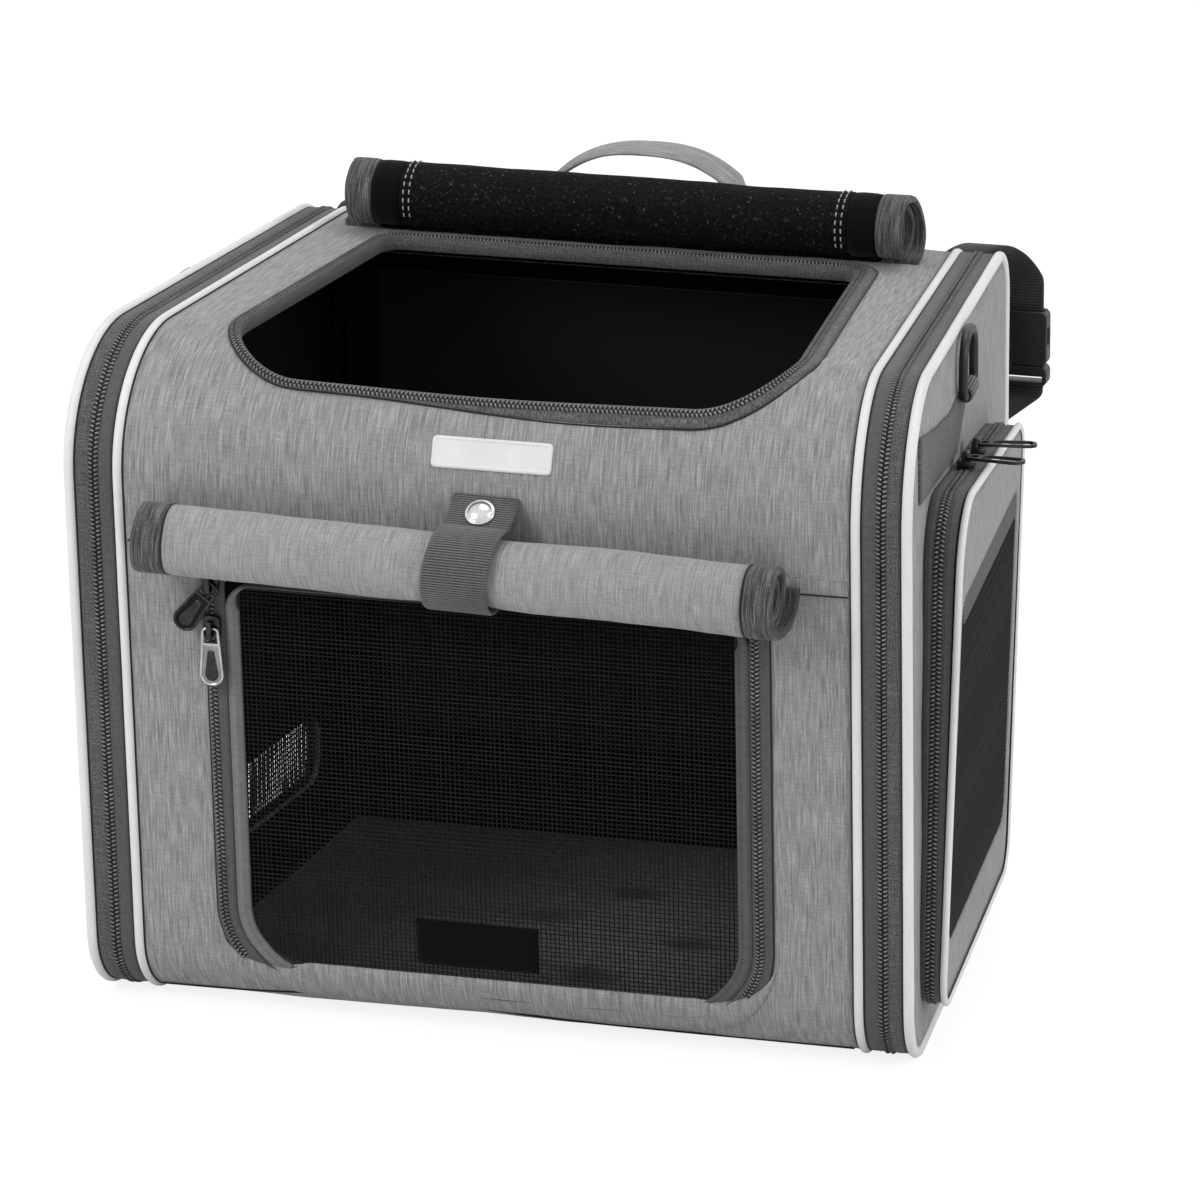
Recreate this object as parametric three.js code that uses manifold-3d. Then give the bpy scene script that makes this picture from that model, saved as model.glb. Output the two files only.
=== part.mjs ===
// Soft-sided dog basket for a bicycle's handlebar, in millimetres.
// +X is to the right of someone who faces the front, +Y runs to the back and +Z is up.
// The origin is the middle of the base.
import * as THREE from 'three';
import { mergeVertices } from 'three/addons/utils/BufferGeometryUtils.js';
import Module from 'manifold-3d';

const wasm = await Module();
wasm.setup();

// Body
const WIDTH = 400;
const DEPTH = 300;
const FRONT_HEIGHT = 322;
const REAR_HEIGHT = 316;
const FRONT_LEAN = 18;
const REAR_DRAW_IN = 27;
const FOOT_RADIUS = 32;
const SHOULDER_RADIUS = 58;
const REAR_TOP_RADIUS = 24;
const REAR_FOOT_RADIUS = 40;
const WALL = 5;
const SEAM_HEIGHT = 240;
const GAP = 0.3;
const OVERRUN = 60;

// Side bands, from the inner piping out to the side panel
const BAND = 26;
const GUSSET = 2.5;
const OUTER_PIPING = 5;
const INNER_PIPING = 4.6;
const PIPING_RISE = 2;
const CHAIN_WIDTH = 4;
const CHAIN_RISE = 1.2;
const SIDE_WALL = 4;
const SIDE_RECESS = 1.2;
const FOLD_DEPTH = 9;
const FOLD_CLOTH = 0.8;
const FOLD_PLEATS = 3;

// Front door
const DOOR_HALF = 134.5;
const DOOR_FOOT = 11;
const DOOR_TOP = 224;
const ZIP_TOP = 232;
const DOOR_CORNER = 44;
const TAPE = 10;
const TRIM = 2;
const DOOR_BINDING = 6.5;
const NET_CLOTH = 0.8;
const NET_PITCH = 22;
const NET_CORD = 2.4;
const NET_HEM = 3;
const PATCH_WIDTH = 59;
const PATCH_HEIGHT = 22;
const PATCH_HEIGHT_ABOVE_BASE = 44.5;
const PATCH_SHIFT = -8;

// Top opening
const OPENING_HALF = 141;
const OPENING_REAR_HALF = 134;
const OPENING_FRONT_MARGIN = 22;
const OPENING_BOW = 3;
const OPENING_REAR_MARGIN = 62;
const OPENING_CORNER = 46;
const OPENING_REAR_CORNER = 14;
const BOW_RADIUS = 1800;
const TOP_TAPE_OUT = 6;
const TOP_TAPE_IN = 4;

// Rolled flaps
const FRONT_ROLL = 36;
const FRONT_ROLL_HALF = 152;
const FRONT_ROLL_SHIFT = -6.5;
const FRONT_ROLL_HEIGHT = 237;
const FRONT_ROLL_TILT = -1.4;
const TOP_ROLL = 35;
const TOP_ROLL_HALF = 139;
const TOP_ROLL_MARGIN = 52.5;
const ROLL_END = 20;
const TOP_ROLL_END = 15;
const ROLL_CLOTH = 2.4;
const ROLL_SPACE = 1;
const ROLL_STEPS = 16;

// Strap, snap and plate
const FLAP_STRAP = 31;
const FLAP_STRAP_PLACE = 2;
const WEBBING = 1.6;
const STRAP_LEAVES = 100;
const TAB_SLOPE = 55;
const SNAP_RADIUS = 7;
const SNAP_DOME = 3;
const SNAP_RIM = 1;
const domeShares = [[0.8, 0.75], [0.45, 0.95], [0, 1]];
const PLATE_WIDTH = 56.5;
const PLATE_HEIGHT = 14.5;
const PLATE_THICKNESS = 1.6;
const PLATE_CORNER = 2;
const PLATE_PLACE = 4;
const PLATE_ANGLE = 21;

// Door sliders and their pulls
const SLIDER_WIDTH = 8;
const SLIDER_LENGTH = 11;
const SLIDER_BODY = 3;
const BRIDGE_WIDTH = 2.4;
const BRIDGE_REACH = 4;
const BRIDGE_BAR = 1.6;
const PULL_PLATE = 1.4;
const PULL_PLAY = 0.7;
const EYE_PLAY = 1.3;
const EYE_RIM = 1.6;
const PULL_LENGTH = 28;
const PULL_TAIL = 6;
const PULL_RIM = 2;
const PULL_ROUND = 2.4;
const SLIDER_UNDER_ROLL = 4;
const SLIDER_SPACE = 11;
const UPPER_PULL_TURN = -38;

// Side pocket
const POCKET_FRONT_MARGIN = 40;
const POCKET_REAR_MARGIN = 55;
const POCKET_TOP_FRONT = 266;
const POCKET_TOP_REAR = 247;
const POCKET_FOOT = 24;
const POCKET_DEPTH = 19;
const POCKET_FOOT_DEPTH = 10.5;
const POCKET_FRONT_RADIUS = 30;
const POCKET_REAR_RADIUS = 20;
const POCKET_FOOT_RADIUS = 16;
const POCKET_CLOTH = 1.6;
const POCKET_PIPING = 3.4;
const MESH_FOOT = 52;
const MESH_TOP = 217;
const MESH_MARGIN = 13;
const MESH_CORNER = 10;
const ELASTIC = 12;
const ELASTIC_RIB = 1;
const POCKET_PITCH = 44;
const POCKET_PITCH_UP = 6;
const POCKET_CORD = 3.2;
const POCKET_SLIDER_REACHES = [82, 114];
const POCKET_PULL_DROOP = 9;

// Low window in the left side
const WINDOW_REAR_MARGIN = 18;
const WINDOW_LENGTH = 172;
const WINDOW_FOOT = 24;
const WINDOW_TOP = 60;
const WINDOW_CORNER = 12;
const WINDOW_BINDING = 7;
const WINDOW_PITCH = 10.8;
const WINDOW_CORD = 2;

// Ring straps on the sides
const STRAP_FRONT_MARGIN = 25;
const STRAP_LENGTH = 137;
const STRAP_TOP = 301;
const STRAP_FOOT = 262;
const strapShares = [
  [0, 1], [0.34, 0.78], [0.64, 0.64], [0.78, 0.68], [1, 0.68], [1, 0.45], [0.8, 0], [0, 0.2],
];
const RING_BAR_HEIGHT = 288;
const RING_WIRE = 4;
const RING_WIDTH = 32;
const RING_HEIGHT = 28;
const RING_ARCH = 13;
const RING_CORNER = 3;
const LOOP_PLAY = 0.4;
const LOOP_WIDTH = 21;

// Carry handle
const HANDLE_MARGIN = 18;
const HANDLE_HALF = 64;
const HANDLE_RISE = 40;
const HANDLE_WIDTH = 25;
const HANDLE_FOOT_WIDTH = 19;
const HANDLE_THICKNESS = 3.5;
const HANDLE_FOOT_GAP = 0.1;
const HANDLE_TWIST = 26;
const HANDLE_FULLNESS = 2.6;

// Handlebar straps and buckles
const BAR_RADIUS = 16;
const BAR_PLAY = 2;
const BAR_HEIGHT = 290;
const BAR_STRAP = 20;
const BAR_STRAP_PLACE = 136;
const STRAP_SEWN = 26;
const BUCKLE_PLACE = 171;
const BUCKLE_TOP = 274;
const BUCKLE_WIDTH = 25;
const BUCKLE_BODY = 27;
const BUCKLE_DEPTH = 9;
const BUCKLE_SHELL = 2.2;
const BUCKLE_BASE = 10;
const BUCKLE_CORNER = 3;
const PRONG_WIDTH = 4;
const PRONG_REACH = 18;
const PRONG_HEAD = 8;
const TONGUE_WIDTH = 5;
const SLOT = 3;
const LOWER_STRAP_FOOT = 188;

// Inside
const BOARD = 2.5;
const BOARD_MARGIN = 8;
const MAT_HEIGHT = 12;
const MAT_CROWN = 5;
const MAT_DRAW_IN = 3;
const MAT_MARGIN = 6;
const HOOP_WIRE = 3;
const HOOP_MARGIN = 6;

// Facets
const FOOT_STEPS = 5;
const SHOULDER_STEPS = 8;
const REAR_TOP_STEPS = 4;
const REAR_FOOT_STEPS = 5;
const CORNER_STEPS = 5;
const SMALL_CORNER_STEPS = 3;
const CORD_SIDES = 8;
const MAT_COLUMNS = 14;
const MAT_ROWS = 10;
const HANDLE_STEPS = 20;

// Materials
const material = (color, roughness, metalness = 0) => (
  new THREE.MeshStandardMaterial({ color, roughness, metalness })
);
const heather = material(0x969799, 0.95);
const trim = material(0x5e5f61, 0.9);
const reflective = material(0xe2e4e5, 0.5);
const mesh = material(0x141415, 0.95);
const black = material(0x1c1c1d, 0.85);
const wire = material(0x8a8c8f, 0.35, 1);
const nickel = material(0xc9cacb, 0.25, 1);
const gunmetal = material(0x3a3b3e, 0.35, 1);
const plastic = material(0x161617, 0.45);
const plateWhite = material(0xeeeeec, 0.5);
const matGrey = material(0x2e2f31, 0.95);
const boardGrey = material(0x3a3a3a, 0.8);

const basket = new THREE.Group();

// Outlines: a station is a point on an outline with the outward normal there
function roundedCorner(before, at, after, radius, steps) {
  const back = before.clone().sub(at).normalize();
  const ahead = after.clone().sub(at).normalize();
  const half = Math.acos(back.dot(ahead)) / 2;
  const reach = radius / Math.tan(half);
  const centre = back.clone().add(ahead).setLength(radius / Math.sin(half)).add(at);
  const first = back.clone().setLength(reach).add(at).sub(centre);
  const last = ahead.clone().setLength(reach).add(at).sub(centre);
  const turn = Math.atan2(first.cross(last), first.dot(last));
  const stations = [];
  for (let i = 0; i <= steps; i += 1) {
    const normal = first.clone().rotateAround(new THREE.Vector2(), turn * i / steps).normalize();
    stations.push({ point: centre.clone().addScaledVector(normal, radius), normal });
  }
  return stations;
}

// Corners are [a, b, radius, steps], in order round the outline
function roundedCorners(corners) {
  const points = corners.map(([a, b]) => new THREE.Vector2(a, b));
  return corners.map(([, , radius, steps], i) => (
    roundedCorner(points.at(i - 1), points[i], points[(i + 1) % points.length], radius, steps)
  ));
}

function inset(station, distance) {
  return station.point.clone().addScaledVector(station.normal, -distance);
}

function insetShape(stations, distance) {
  return new THREE.Shape(stations.map((station) => inset(station, distance)));
}

function ringShape(stations, outer, inner) {
  const ring = insetShape(stations, outer);
  ring.holes.push(insetShape(stations, inner));
  return ring;
}

// An open band along a run of stations, such as three sides of a door
function bandShape(stations, outer, inner) {
  const there = stations.map((station) => inset(station, outer));
  const back = stations.map((station) => inset(station, inner)).reverse();
  return new THREE.Shape([...there, ...back]);
}

function onward(from, to, distance) {
  const step = to.point.clone().sub(from.point).setLength(distance);
  return { point: from.point.clone().add(step), normal: from.normal.clone() };
}

function facingOut(geometry) {
  const position = geometry.attributes.position;
  const index = geometry.index.array;
  const [a, b, c] = [new THREE.Vector3(), new THREE.Vector3(), new THREE.Vector3()];
  let volume = 0;
  for (let i = 0; i < index.length; i += 3) {
    a.fromBufferAttribute(position, index[i]);
    b.fromBufferAttribute(position, index[i + 1]);
    c.fromBufferAttribute(position, index[i + 2]);
    volume += a.dot(b.cross(c));
  }
  return volume < 0 ? flipped(geometry) : geometry;
}

function flipped(geometry) {
  const index = geometry.index.array;
  for (let i = 0; i < index.length; i += 3) {
    [index[i], index[i + 1]] = [index[i + 1], index[i]];
  }
  return geometry;
}

function faceted(positions, indices) {
  const geometry = new THREE.BufferGeometry();
  geometry.setAttribute('position', new THREE.Float32BufferAttribute(positions, 3));
  geometry.setIndex(indices);
  return facingOut(geometry);
}

// Joins rings of points into one closed skin; an open run gets a cap at each end
function skin(rings, closed, outline) {
  const size = rings[0].length;
  const count = rings.length;
  const indices = [];
  for (let i = 0; i < (closed ? count : count - 1); i += 1) {
    for (let j = 0; j < size; j += 1) {
      const [here, next] = [i * size, ((i + 1) % count) * size];
      const k = (j + 1) % size;
      indices.push(here + j, here + k, next + k, here + j, next + k, next + j);
    }
  }
  if (!closed) {
    const end = (count - 1) * size;
    for (const [a, b, c] of THREE.ShapeUtils.triangulateShape(outline, [])) {
      indices.push(a, c, b, end + a, end + b, end + c);
    }
  }
  return faceted(rings.flat(2), indices);
}

// Sweeps a section of [across, inset] points along stations: across is X, the outline lies in YZ
function sweep(section, stations, closed) {
  const outline = section.map(([across, depth]) => new THREE.Vector2(across, depth));
  if (THREE.ShapeUtils.isClockWise(outline)) outline.reverse();
  const rings = stations.map((station) => outline.map(({ x, y }) => {
    const point = inset(station, y);
    return [x, point.x, point.y];
  }));
  return skin(rings, closed, outline);
}

// A flat strip of webbing along points, its width lying along X or Y
function webbing(points, widths, thickness, widthAxes) {
  const rings = points.map((point, i) => {
    const widthAxis = widthAxes[i % widthAxes.length];
    const before = points[Math.max(i - 1, 0)];
    const after = points[Math.min(i + 1, points.length - 1)];
    const along = after.clone().sub(before);
    along.addScaledVector(widthAxis, -along.dot(widthAxis)).normalize();
    const up = along.clone().cross(widthAxis).multiplyScalar(thickness / 2);
    const out = widthAxis.clone().multiplyScalar(widths[i] / 2);
    const corner = (a, b) => point.clone().addScaledVector(out, a).addScaledVector(up, b).toArray();
    return [corner(-1, -1), corner(1, -1), corner(1, 1), corner(-1, 1)];
  });
  const outline = [[0, 0], [1, 0], [1, 1], [0, 1]].map(([a, b]) => new THREE.Vector2(a, b));
  return skin(rings, false, outline);
}

function roundSection(across, depth, radius, sides = CORD_SIDES) {
  return Array.from({ length: sides }, (_, i) => {
    const angle = 2 * Math.PI * (i + 0.5) / sides;
    return [across + radius * Math.cos(angle), depth + radius * Math.sin(angle)];
  });
}

function flatSection(from, to, outer, inner) {
  return [[from, outer], [to, outer], [to, inner], [from, inner]];
}

// Solids for cutting and joining
function toSolid(geometry) {
  const bare = new THREE.BufferGeometry();
  bare.setAttribute('position', geometry.attributes.position.clone());
  if (geometry.index) bare.setIndex(geometry.index.clone());
  const merged = mergeVertices(bare);
  return new wasm.Manifold(new wasm.Mesh({
    numProp: 3,
    vertProperties: Float32Array.from(merged.attributes.position.array),
    triVerts: Uint32Array.from(merged.index.array),
  }));
}

function toGeometry(solid) {
  const { vertProperties, triVerts } = solid.getMesh();
  const geometry = new THREE.BufferGeometry();
  geometry.setAttribute('position', new THREE.Float32BufferAttribute(vertProperties, 3));
  geometry.setIndex(Array.from(triVerts));
  return geometry;
}

const cut = (geometry, ...tools) => toGeometry(
  tools.reduce((solid, tool) => solid.subtract(toSolid(tool)), toSolid(geometry)),
);
const join = (first, ...others) => toGeometry(
  others.reduce((solid, other) => solid.add(toSolid(other)), toSolid(first)),
);
const common = (first, second) => toGeometry(toSolid(first).intersect(toSolid(second)));

function prism(shapes, from, to) {
  const geometry = new THREE.ExtrudeGeometry(shapes, { depth: to - from, bevelEnabled: false });
  return geometry.translate(0, 0, from);
}

// A prism whose shape lies in YZ and that runs along X
function alongX(shapes, from, to) {
  const turn = new THREE.Matrix4().makeBasis(
    new THREE.Vector3(0, 1, 0),
    new THREE.Vector3(0, 0, 1),
    new THREE.Vector3(1, 0, 0),
  );
  return prism(shapes, from, to).applyMatrix4(turn);
}

function block(width, height, depth, x = 0, y = 0, z = 0) {
  return new THREE.BoxGeometry(width, height, depth).translate(x, y, z);
}

function rectangle(from, to, foot, top, radius = 0, steps = SMALL_CORNER_STEPS) {
  const corners = [[from, foot], [to, foot], [to, top], [from, top]];
  if (!radius) return new THREE.Shape(corners.map(([a, b]) => new THREE.Vector2(a, b)));
  return insetShape(roundedCorners(corners.map((corner) => [...corner, radius, steps])).flat(), 0);
}

// Square gaps, pitch apart, that fill a rectangle evenly
function gapShapes(from, to, foot, top, pitchAlong, pitchUp, cord) {
  const columns = Math.floor((to - from) / pitchAlong);
  const rows = Math.floor((top - foot) / pitchUp);
  const [stepA, stepB] = [(to - from) / columns, (top - foot) / rows];
  const shapes = [];
  for (let i = 0; i < columns; i += 1) {
    for (let j = 0; j < rows; j += 1) {
      const [a, b] = [from + i * stepA, foot + j * stepB];
      shapes.push(rectangle(a + cord / 2, a + stepA - cord / 2, b + cord / 2, b + stepB - cord / 2));
    }
  }
  return shapes;
}

// The body narrows to the back: every width is drawn in with its place along the depth
function drawInAt(y) {
  return 1 - (REAR_DRAW_IN / (WIDTH / 2)) * (y + DEPTH / 2) / DEPTH;
}

function drawnIn(geometry) {
  const position = geometry.attributes.position;
  for (let i = 0; i < position.count; i += 1) {
    position.setX(i, position.getX(i) * drawInAt(position.getY(i)));
  }
  return geometry;
}

function mirrored(geometry) {
  const copy = geometry.clone().scale(-1, 1, 1);
  if (!copy.index) copy.setIndex(Array.from({ length: copy.attributes.position.count }, (_, i) => i));
  return flipped(copy);
}

function add(name, geometry, look, parent = basket) {
  const piece = new THREE.Mesh(geometry, look);
  piece.name = name;
  parent.add(piece);
  return piece;
}

const SIDES = [['right', 1], ['left', -1]];

function addPair(name, geometry, look) {
  for (const [side, sign] of SIDES) {
    add(`${name}_${side}`, drawnIn(sign > 0 ? geometry.clone() : mirrored(geometry)), look);
  }
}

// Side profile of the body, from the foot of the front, over the top and back along the base
const base = PIPING_RISE;
const [foot, shoulder, rearTop, rearFoot] = roundedCorners([
  [-DEPTH / 2 + FRONT_LEAN, base, FOOT_RADIUS, FOOT_STEPS],
  [-DEPTH / 2, FRONT_HEIGHT, SHOULDER_RADIUS, SHOULDER_STEPS],
  [DEPTH / 2, REAR_HEIGHT, REAR_TOP_RADIUS, REAR_TOP_STEPS],
  [DEPTH / 2, base, REAR_FOOT_RADIUS, REAR_FOOT_STEPS],
]);
const profile = [...foot, ...shoulder, ...rearTop, ...rearFoot];
const leanAngle = Math.atan(FRONT_LEAN / (FRONT_HEIGHT - base));

// Places across a side band
const outerPipingAt = WIDTH / 2 - OUTER_PIPING / 2;
const innerPipingAt = WIDTH / 2 - BAND;
const centreHalf = innerPipingAt - INNER_PIPING / 2 - GAP;
const bandFrom = innerPipingAt + INNER_PIPING / 2 + GAP;
const bandTo = outerPipingAt - OUTER_PIPING / 2 - GAP;
const chainAt = (bandFrom + bandTo) / 2;
const sideFace = WIDTH / 2 - SIDE_RECESS;
const sideBack = sideFace - SIDE_WALL;

// The front's own frame: X across, Y up the cloth from the foot, Z out of it
const front = new THREE.Group();
front.rotation.x = Math.PI / 2 + leanAngle;
front.position.set(0, -DEPTH / 2 + FRONT_LEAN, base);
front.updateMatrix();
basket.add(front);
const upFront = (height) => (height - base) / Math.cos(leanAngle);
const ontoFront = (geometry) => geometry.applyMatrix4(front.matrix);

const panelRun = {
  front: [...foot, onward(foot.at(-1), shoulder[0], upFront(SEAM_HEIGHT) - upFront(foot.at(-1).point.y))],
  upper: [
    onward(foot.at(-1), shoulder[0], upFront(SEAM_HEIGHT) - upFront(foot.at(-1).point.y) + GAP),
    ...shoulder,
    ...rearTop,
  ],
  back: [onward(rearTop.at(-1), rearFoot[0], GAP), ...rearFoot],
  bottom: [onward(rearFoot.at(-1), foot[0], GAP), onward(foot[0], rearFoot.at(-1), GAP)],
};

function layer(run, outer, inner) {
  return sweep(flatSection(-centreHalf, centreHalf, outer, inner), run, false);
}

// Outline of the door, in the front's frame, and its zip that is open along the top
const doorCorners = roundedCorners([
  [-DOOR_HALF, upFront(DOOR_TOP), TAPE, SMALL_CORNER_STEPS],
  [-DOOR_HALF, upFront(DOOR_FOOT), DOOR_CORNER, CORNER_STEPS],
  [DOOR_HALF, upFront(DOOR_FOOT), DOOR_CORNER, CORNER_STEPS],
  [DOOR_HALF, upFront(DOOR_TOP), TAPE, SMALL_CORNER_STEPS],
]);
const zipRun = [
  { ...doorCorners[1][0], point: new THREE.Vector2(-DOOR_HALF, upFront(ZIP_TOP)) },
  ...doorCorners[1],
  ...doorCorners[2],
  { ...doorCorners[2].at(-1), point: new THREE.Vector2(DOOR_HALF, upFront(ZIP_TOP)) },
];
const doorCloth = [
  [-DOOR_HALF, upFront(DOOR_TOP)],
  [-DOOR_HALF, upFront(DOOR_FOOT)],
  [DOOR_HALF, upFront(DOOR_FOOT)],
  [DOOR_HALF, upFront(DOOR_TOP)],
];
const doorOutline = roundedCorners(doorCloth.map((corner, i) => (
  [...corner, i === 1 || i === 2 ? DOOR_CORNER : TAPE + 2 * DOOR_BINDING, CORNER_STEPS]
))).flat();

function frontPrism(shapes) {
  return ontoFront(prism(shapes, -OVERRUN, OVERRUN));
}

function addFrontPanels() {
  const hole = frontPrism(insetShape(doorOutline, TAPE / 2));
  add('front_panel', drawnIn(cut(layer(panelRun.front, 0, WALL), hole)), heather);
  const tape = common(layer(panelRun.front, -GAP - TRIM, -GAP), frontPrism(bandShape(zipRun, 0, TAPE)));
  add('door_zip', drawnIn(tape), trim);
}

function addDoor() {
  const edge = TAPE + GAP;
  const binding = ringShape(doorOutline, edge, edge + DOOR_BINDING);
  const band = common(layer(panelRun.front, -GAP - TRIM, -GAP), frontPrism(binding));
  add('door_binding', drawnIn(band), trim);
  const reach = DOOR_HALF - edge;
  const gaps = frontPrism(gapShapes(
    -reach + NET_HEM,
    reach - NET_HEM,
    upFront(DOOR_FOOT) + edge + NET_HEM,
    upFront(DOOR_TOP) - edge - NET_HEM,
    NET_PITCH,
    NET_PITCH,
    NET_CORD,
  ));
  const cloth = layer(panelRun.front, 0, NET_CLOTH);
  const net = common(cloth, frontPrism(insetShape(doorOutline, edge)));
  const inside = common(gaps, frontPrism(insetShape(doorOutline, edge + NET_HEM)));
  add('door_net', drawnIn(cut(net, inside)), mesh);
  const middle = upFront(PATCH_HEIGHT_ABOVE_BASE);
  const patch = prism(rectangle(
    PATCH_SHIFT - PATCH_WIDTH / 2,
    PATCH_SHIFT + PATCH_WIDTH / 2,
    middle - PATCH_HEIGHT / 2,
    middle + PATCH_HEIGHT / 2,
  ), GAP, GAP + NET_CLOTH);
  add('net_patch', patch, black, front);
}

// Outline of the top opening, seen from above
const openingFront = OPENING_FRONT_MARGIN - DEPTH / 2;
const openingRear = DEPTH / 2 - OPENING_REAR_MARGIN;
const openingOutline = roundedCorners([
  [-OPENING_REAR_HALF, openingRear, OPENING_REAR_CORNER, SMALL_CORNER_STEPS],
  [-OPENING_HALF, openingFront, OPENING_CORNER, CORNER_STEPS],
  [0, openingFront - OPENING_BOW, BOW_RADIUS, SMALL_CORNER_STEPS],
  [OPENING_HALF, openingFront, OPENING_CORNER, CORNER_STEPS],
  [OPENING_REAR_HALF, openingRear, OPENING_REAR_CORNER, SMALL_CORNER_STEPS],
]).flat();

function addUpperPanel() {
  const [low, high] = [FRONT_HEIGHT / 2, FRONT_HEIGHT + OVERRUN];
  const hole = prism(insetShape(openingOutline, 0), low, high);
  add('upper_panel', drawnIn(cut(layer(panelRun.upper, 0, WALL), hole)), heather);
  const ring = prism(ringShape(openingOutline, -TOP_TAPE_OUT, TOP_TAPE_IN), low, high);
  add('top_zip', drawnIn(common(layer(panelRun.upper, -GAP - TRIM, -GAP), ring)), trim);
}

function addBackAndBase() {
  add('back_panel', drawnIn(layer(panelRun.back, 0, WALL)), heather);
  add('bottom_panel', drawnIn(layer(panelRun.bottom, -base, WALL)), heather);
}

// Bands round both sides: piping, a gusset with half a zip, its other half, piping
function addBands() {
  const chain = CHAIN_WIDTH / 2;
  const rise = -CHAIN_RISE;
  const [innerEnd, outerStart] = [chainAt - GAP / 2, chainAt + GAP / 2];
  const innerGusset = [
    [bandFrom, 0], [bandFrom, GUSSET], [innerEnd, GUSSET],
    [innerEnd, rise], [innerEnd - chain, rise], [innerEnd - chain, 0],
  ];
  const outerGusset = [
    [bandTo, 0], [bandTo, GUSSET], [outerStart, GUSSET],
    [outerStart, rise], [outerStart + chain, rise], [outerStart + chain, 0],
  ];
  addPair('inner_gusset', sweep(innerGusset, profile, true), trim);
  addPair('outer_gusset', sweep(outerGusset, profile, true), trim);
  const innerCord = roundSection(innerPipingAt, INNER_PIPING / 2 - PIPING_RISE, INNER_PIPING / 2);
  const outerCord = roundSection(outerPipingAt, OUTER_PIPING / 2 - PIPING_RISE, OUTER_PIPING / 2);
  addPair('inner_piping', sweep(innerCord, profile, true), reflective);
  addPair('outer_piping', sweep(outerCord, profile, true), reflective);
}

// Cloth that lies folded behind each band and unfolds when the side is drawn out
function addFolds() {
  const [from, to] = [bandFrom, sideBack - GAP];
  const points = 2 * FOLD_PLEATS;
  const under = [];
  for (let i = 0; i <= points; i += 1) {
    const depth = GUSSET + GAP + (i % 2 ? FOLD_DEPTH - FOLD_CLOTH : 0);
    under.push([from + (to - from) * i / points, depth]);
  }
  const over = under.map(([across, depth]) => [across, depth + FOLD_CLOTH]).reverse();
  addPair('expansion_fold', sweep([...under, ...over], profile, true), mesh);
}

const sideOutlineInset = OUTER_PIPING - PIPING_RISE + GAP;

function sidePlate(holes) {
  const shape = insetShape(profile, sideOutlineInset);
  shape.holes.push(...holes);
  return alongX(shape, sideBack, sideFace);
}

const windowRear = DEPTH / 2 - WINDOW_REAR_MARGIN;
const windowFront = windowRear - WINDOW_LENGTH;
const windowOutline = roundedCorners([
  [windowFront, WINDOW_FOOT, WINDOW_CORNER, SMALL_CORNER_STEPS],
  [windowRear, WINDOW_FOOT, WINDOW_CORNER, SMALL_CORNER_STEPS],
  [windowRear, WINDOW_TOP, WINDOW_CORNER, SMALL_CORNER_STEPS],
  [windowFront, WINDOW_TOP, WINDOW_CORNER, SMALL_CORNER_STEPS],
]).flat();

function addSides() {
  add('side_panel_right', drawnIn(sidePlate([])), heather);
  const plate = sidePlate([insetShape(windowOutline, 0)]);
  add('side_panel_left', drawnIn(mirrored(plate)), heather);
  const binding = alongX(
    ringShape(windowOutline, -WINDOW_BINDING / 2, WINDOW_BINDING / 2),
    sideFace + GAP,
    sideFace + GAP + POCKET_CLOTH,
  );
  add('window_binding', drawnIn(mirrored(binding)), trim);
  const gaps = gapShapes(
    windowFront + WINDOW_BINDING,
    windowRear - WINDOW_BINDING,
    WINDOW_FOOT + WINDOW_BINDING,
    WINDOW_TOP - WINDOW_BINDING,
    WINDOW_PITCH,
    WINDOW_PITCH,
    WINDOW_CORD,
  );
  const cloth = alongX(insetShape(windowOutline, GAP), sideFace - NET_CLOTH, sideFace);
  add('window_net', drawnIn(mirrored(cut(cloth, alongX(gaps, 0, WIDTH)))), mesh);
}

// The pocket on the right side is deeper at its top than at its foot
const pocketFront = POCKET_FRONT_MARGIN - DEPTH / 2;
const pocketRear = DEPTH / 2 - POCKET_REAR_MARGIN;
const pocketOutline = roundedCorners([
  [pocketFront, POCKET_FOOT, POCKET_FOOT_RADIUS, SMALL_CORNER_STEPS],
  [pocketRear, POCKET_FOOT, POCKET_FOOT_RADIUS, SMALL_CORNER_STEPS],
  [pocketRear, POCKET_TOP_REAR, POCKET_REAR_RADIUS, CORNER_STEPS],
  [pocketFront, POCKET_TOP_FRONT, POCKET_FRONT_RADIUS, CORNER_STEPS],
]).flat();

function shallowAtFoot(geometry) {
  const position = geometry.attributes.position;
  const least = POCKET_FOOT_DEPTH / POCKET_DEPTH;
  for (let i = 0; i < position.count; i += 1) {
    const climb = (position.getZ(i) - POCKET_FOOT) / (POCKET_TOP_FRONT - POCKET_FOOT);
    const out = position.getX(i) - sideFace - GAP;
    if (out > 0) position.setX(i, sideFace + GAP + out * (least + (1 - least) * climb));
  }
  return geometry;
}

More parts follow.
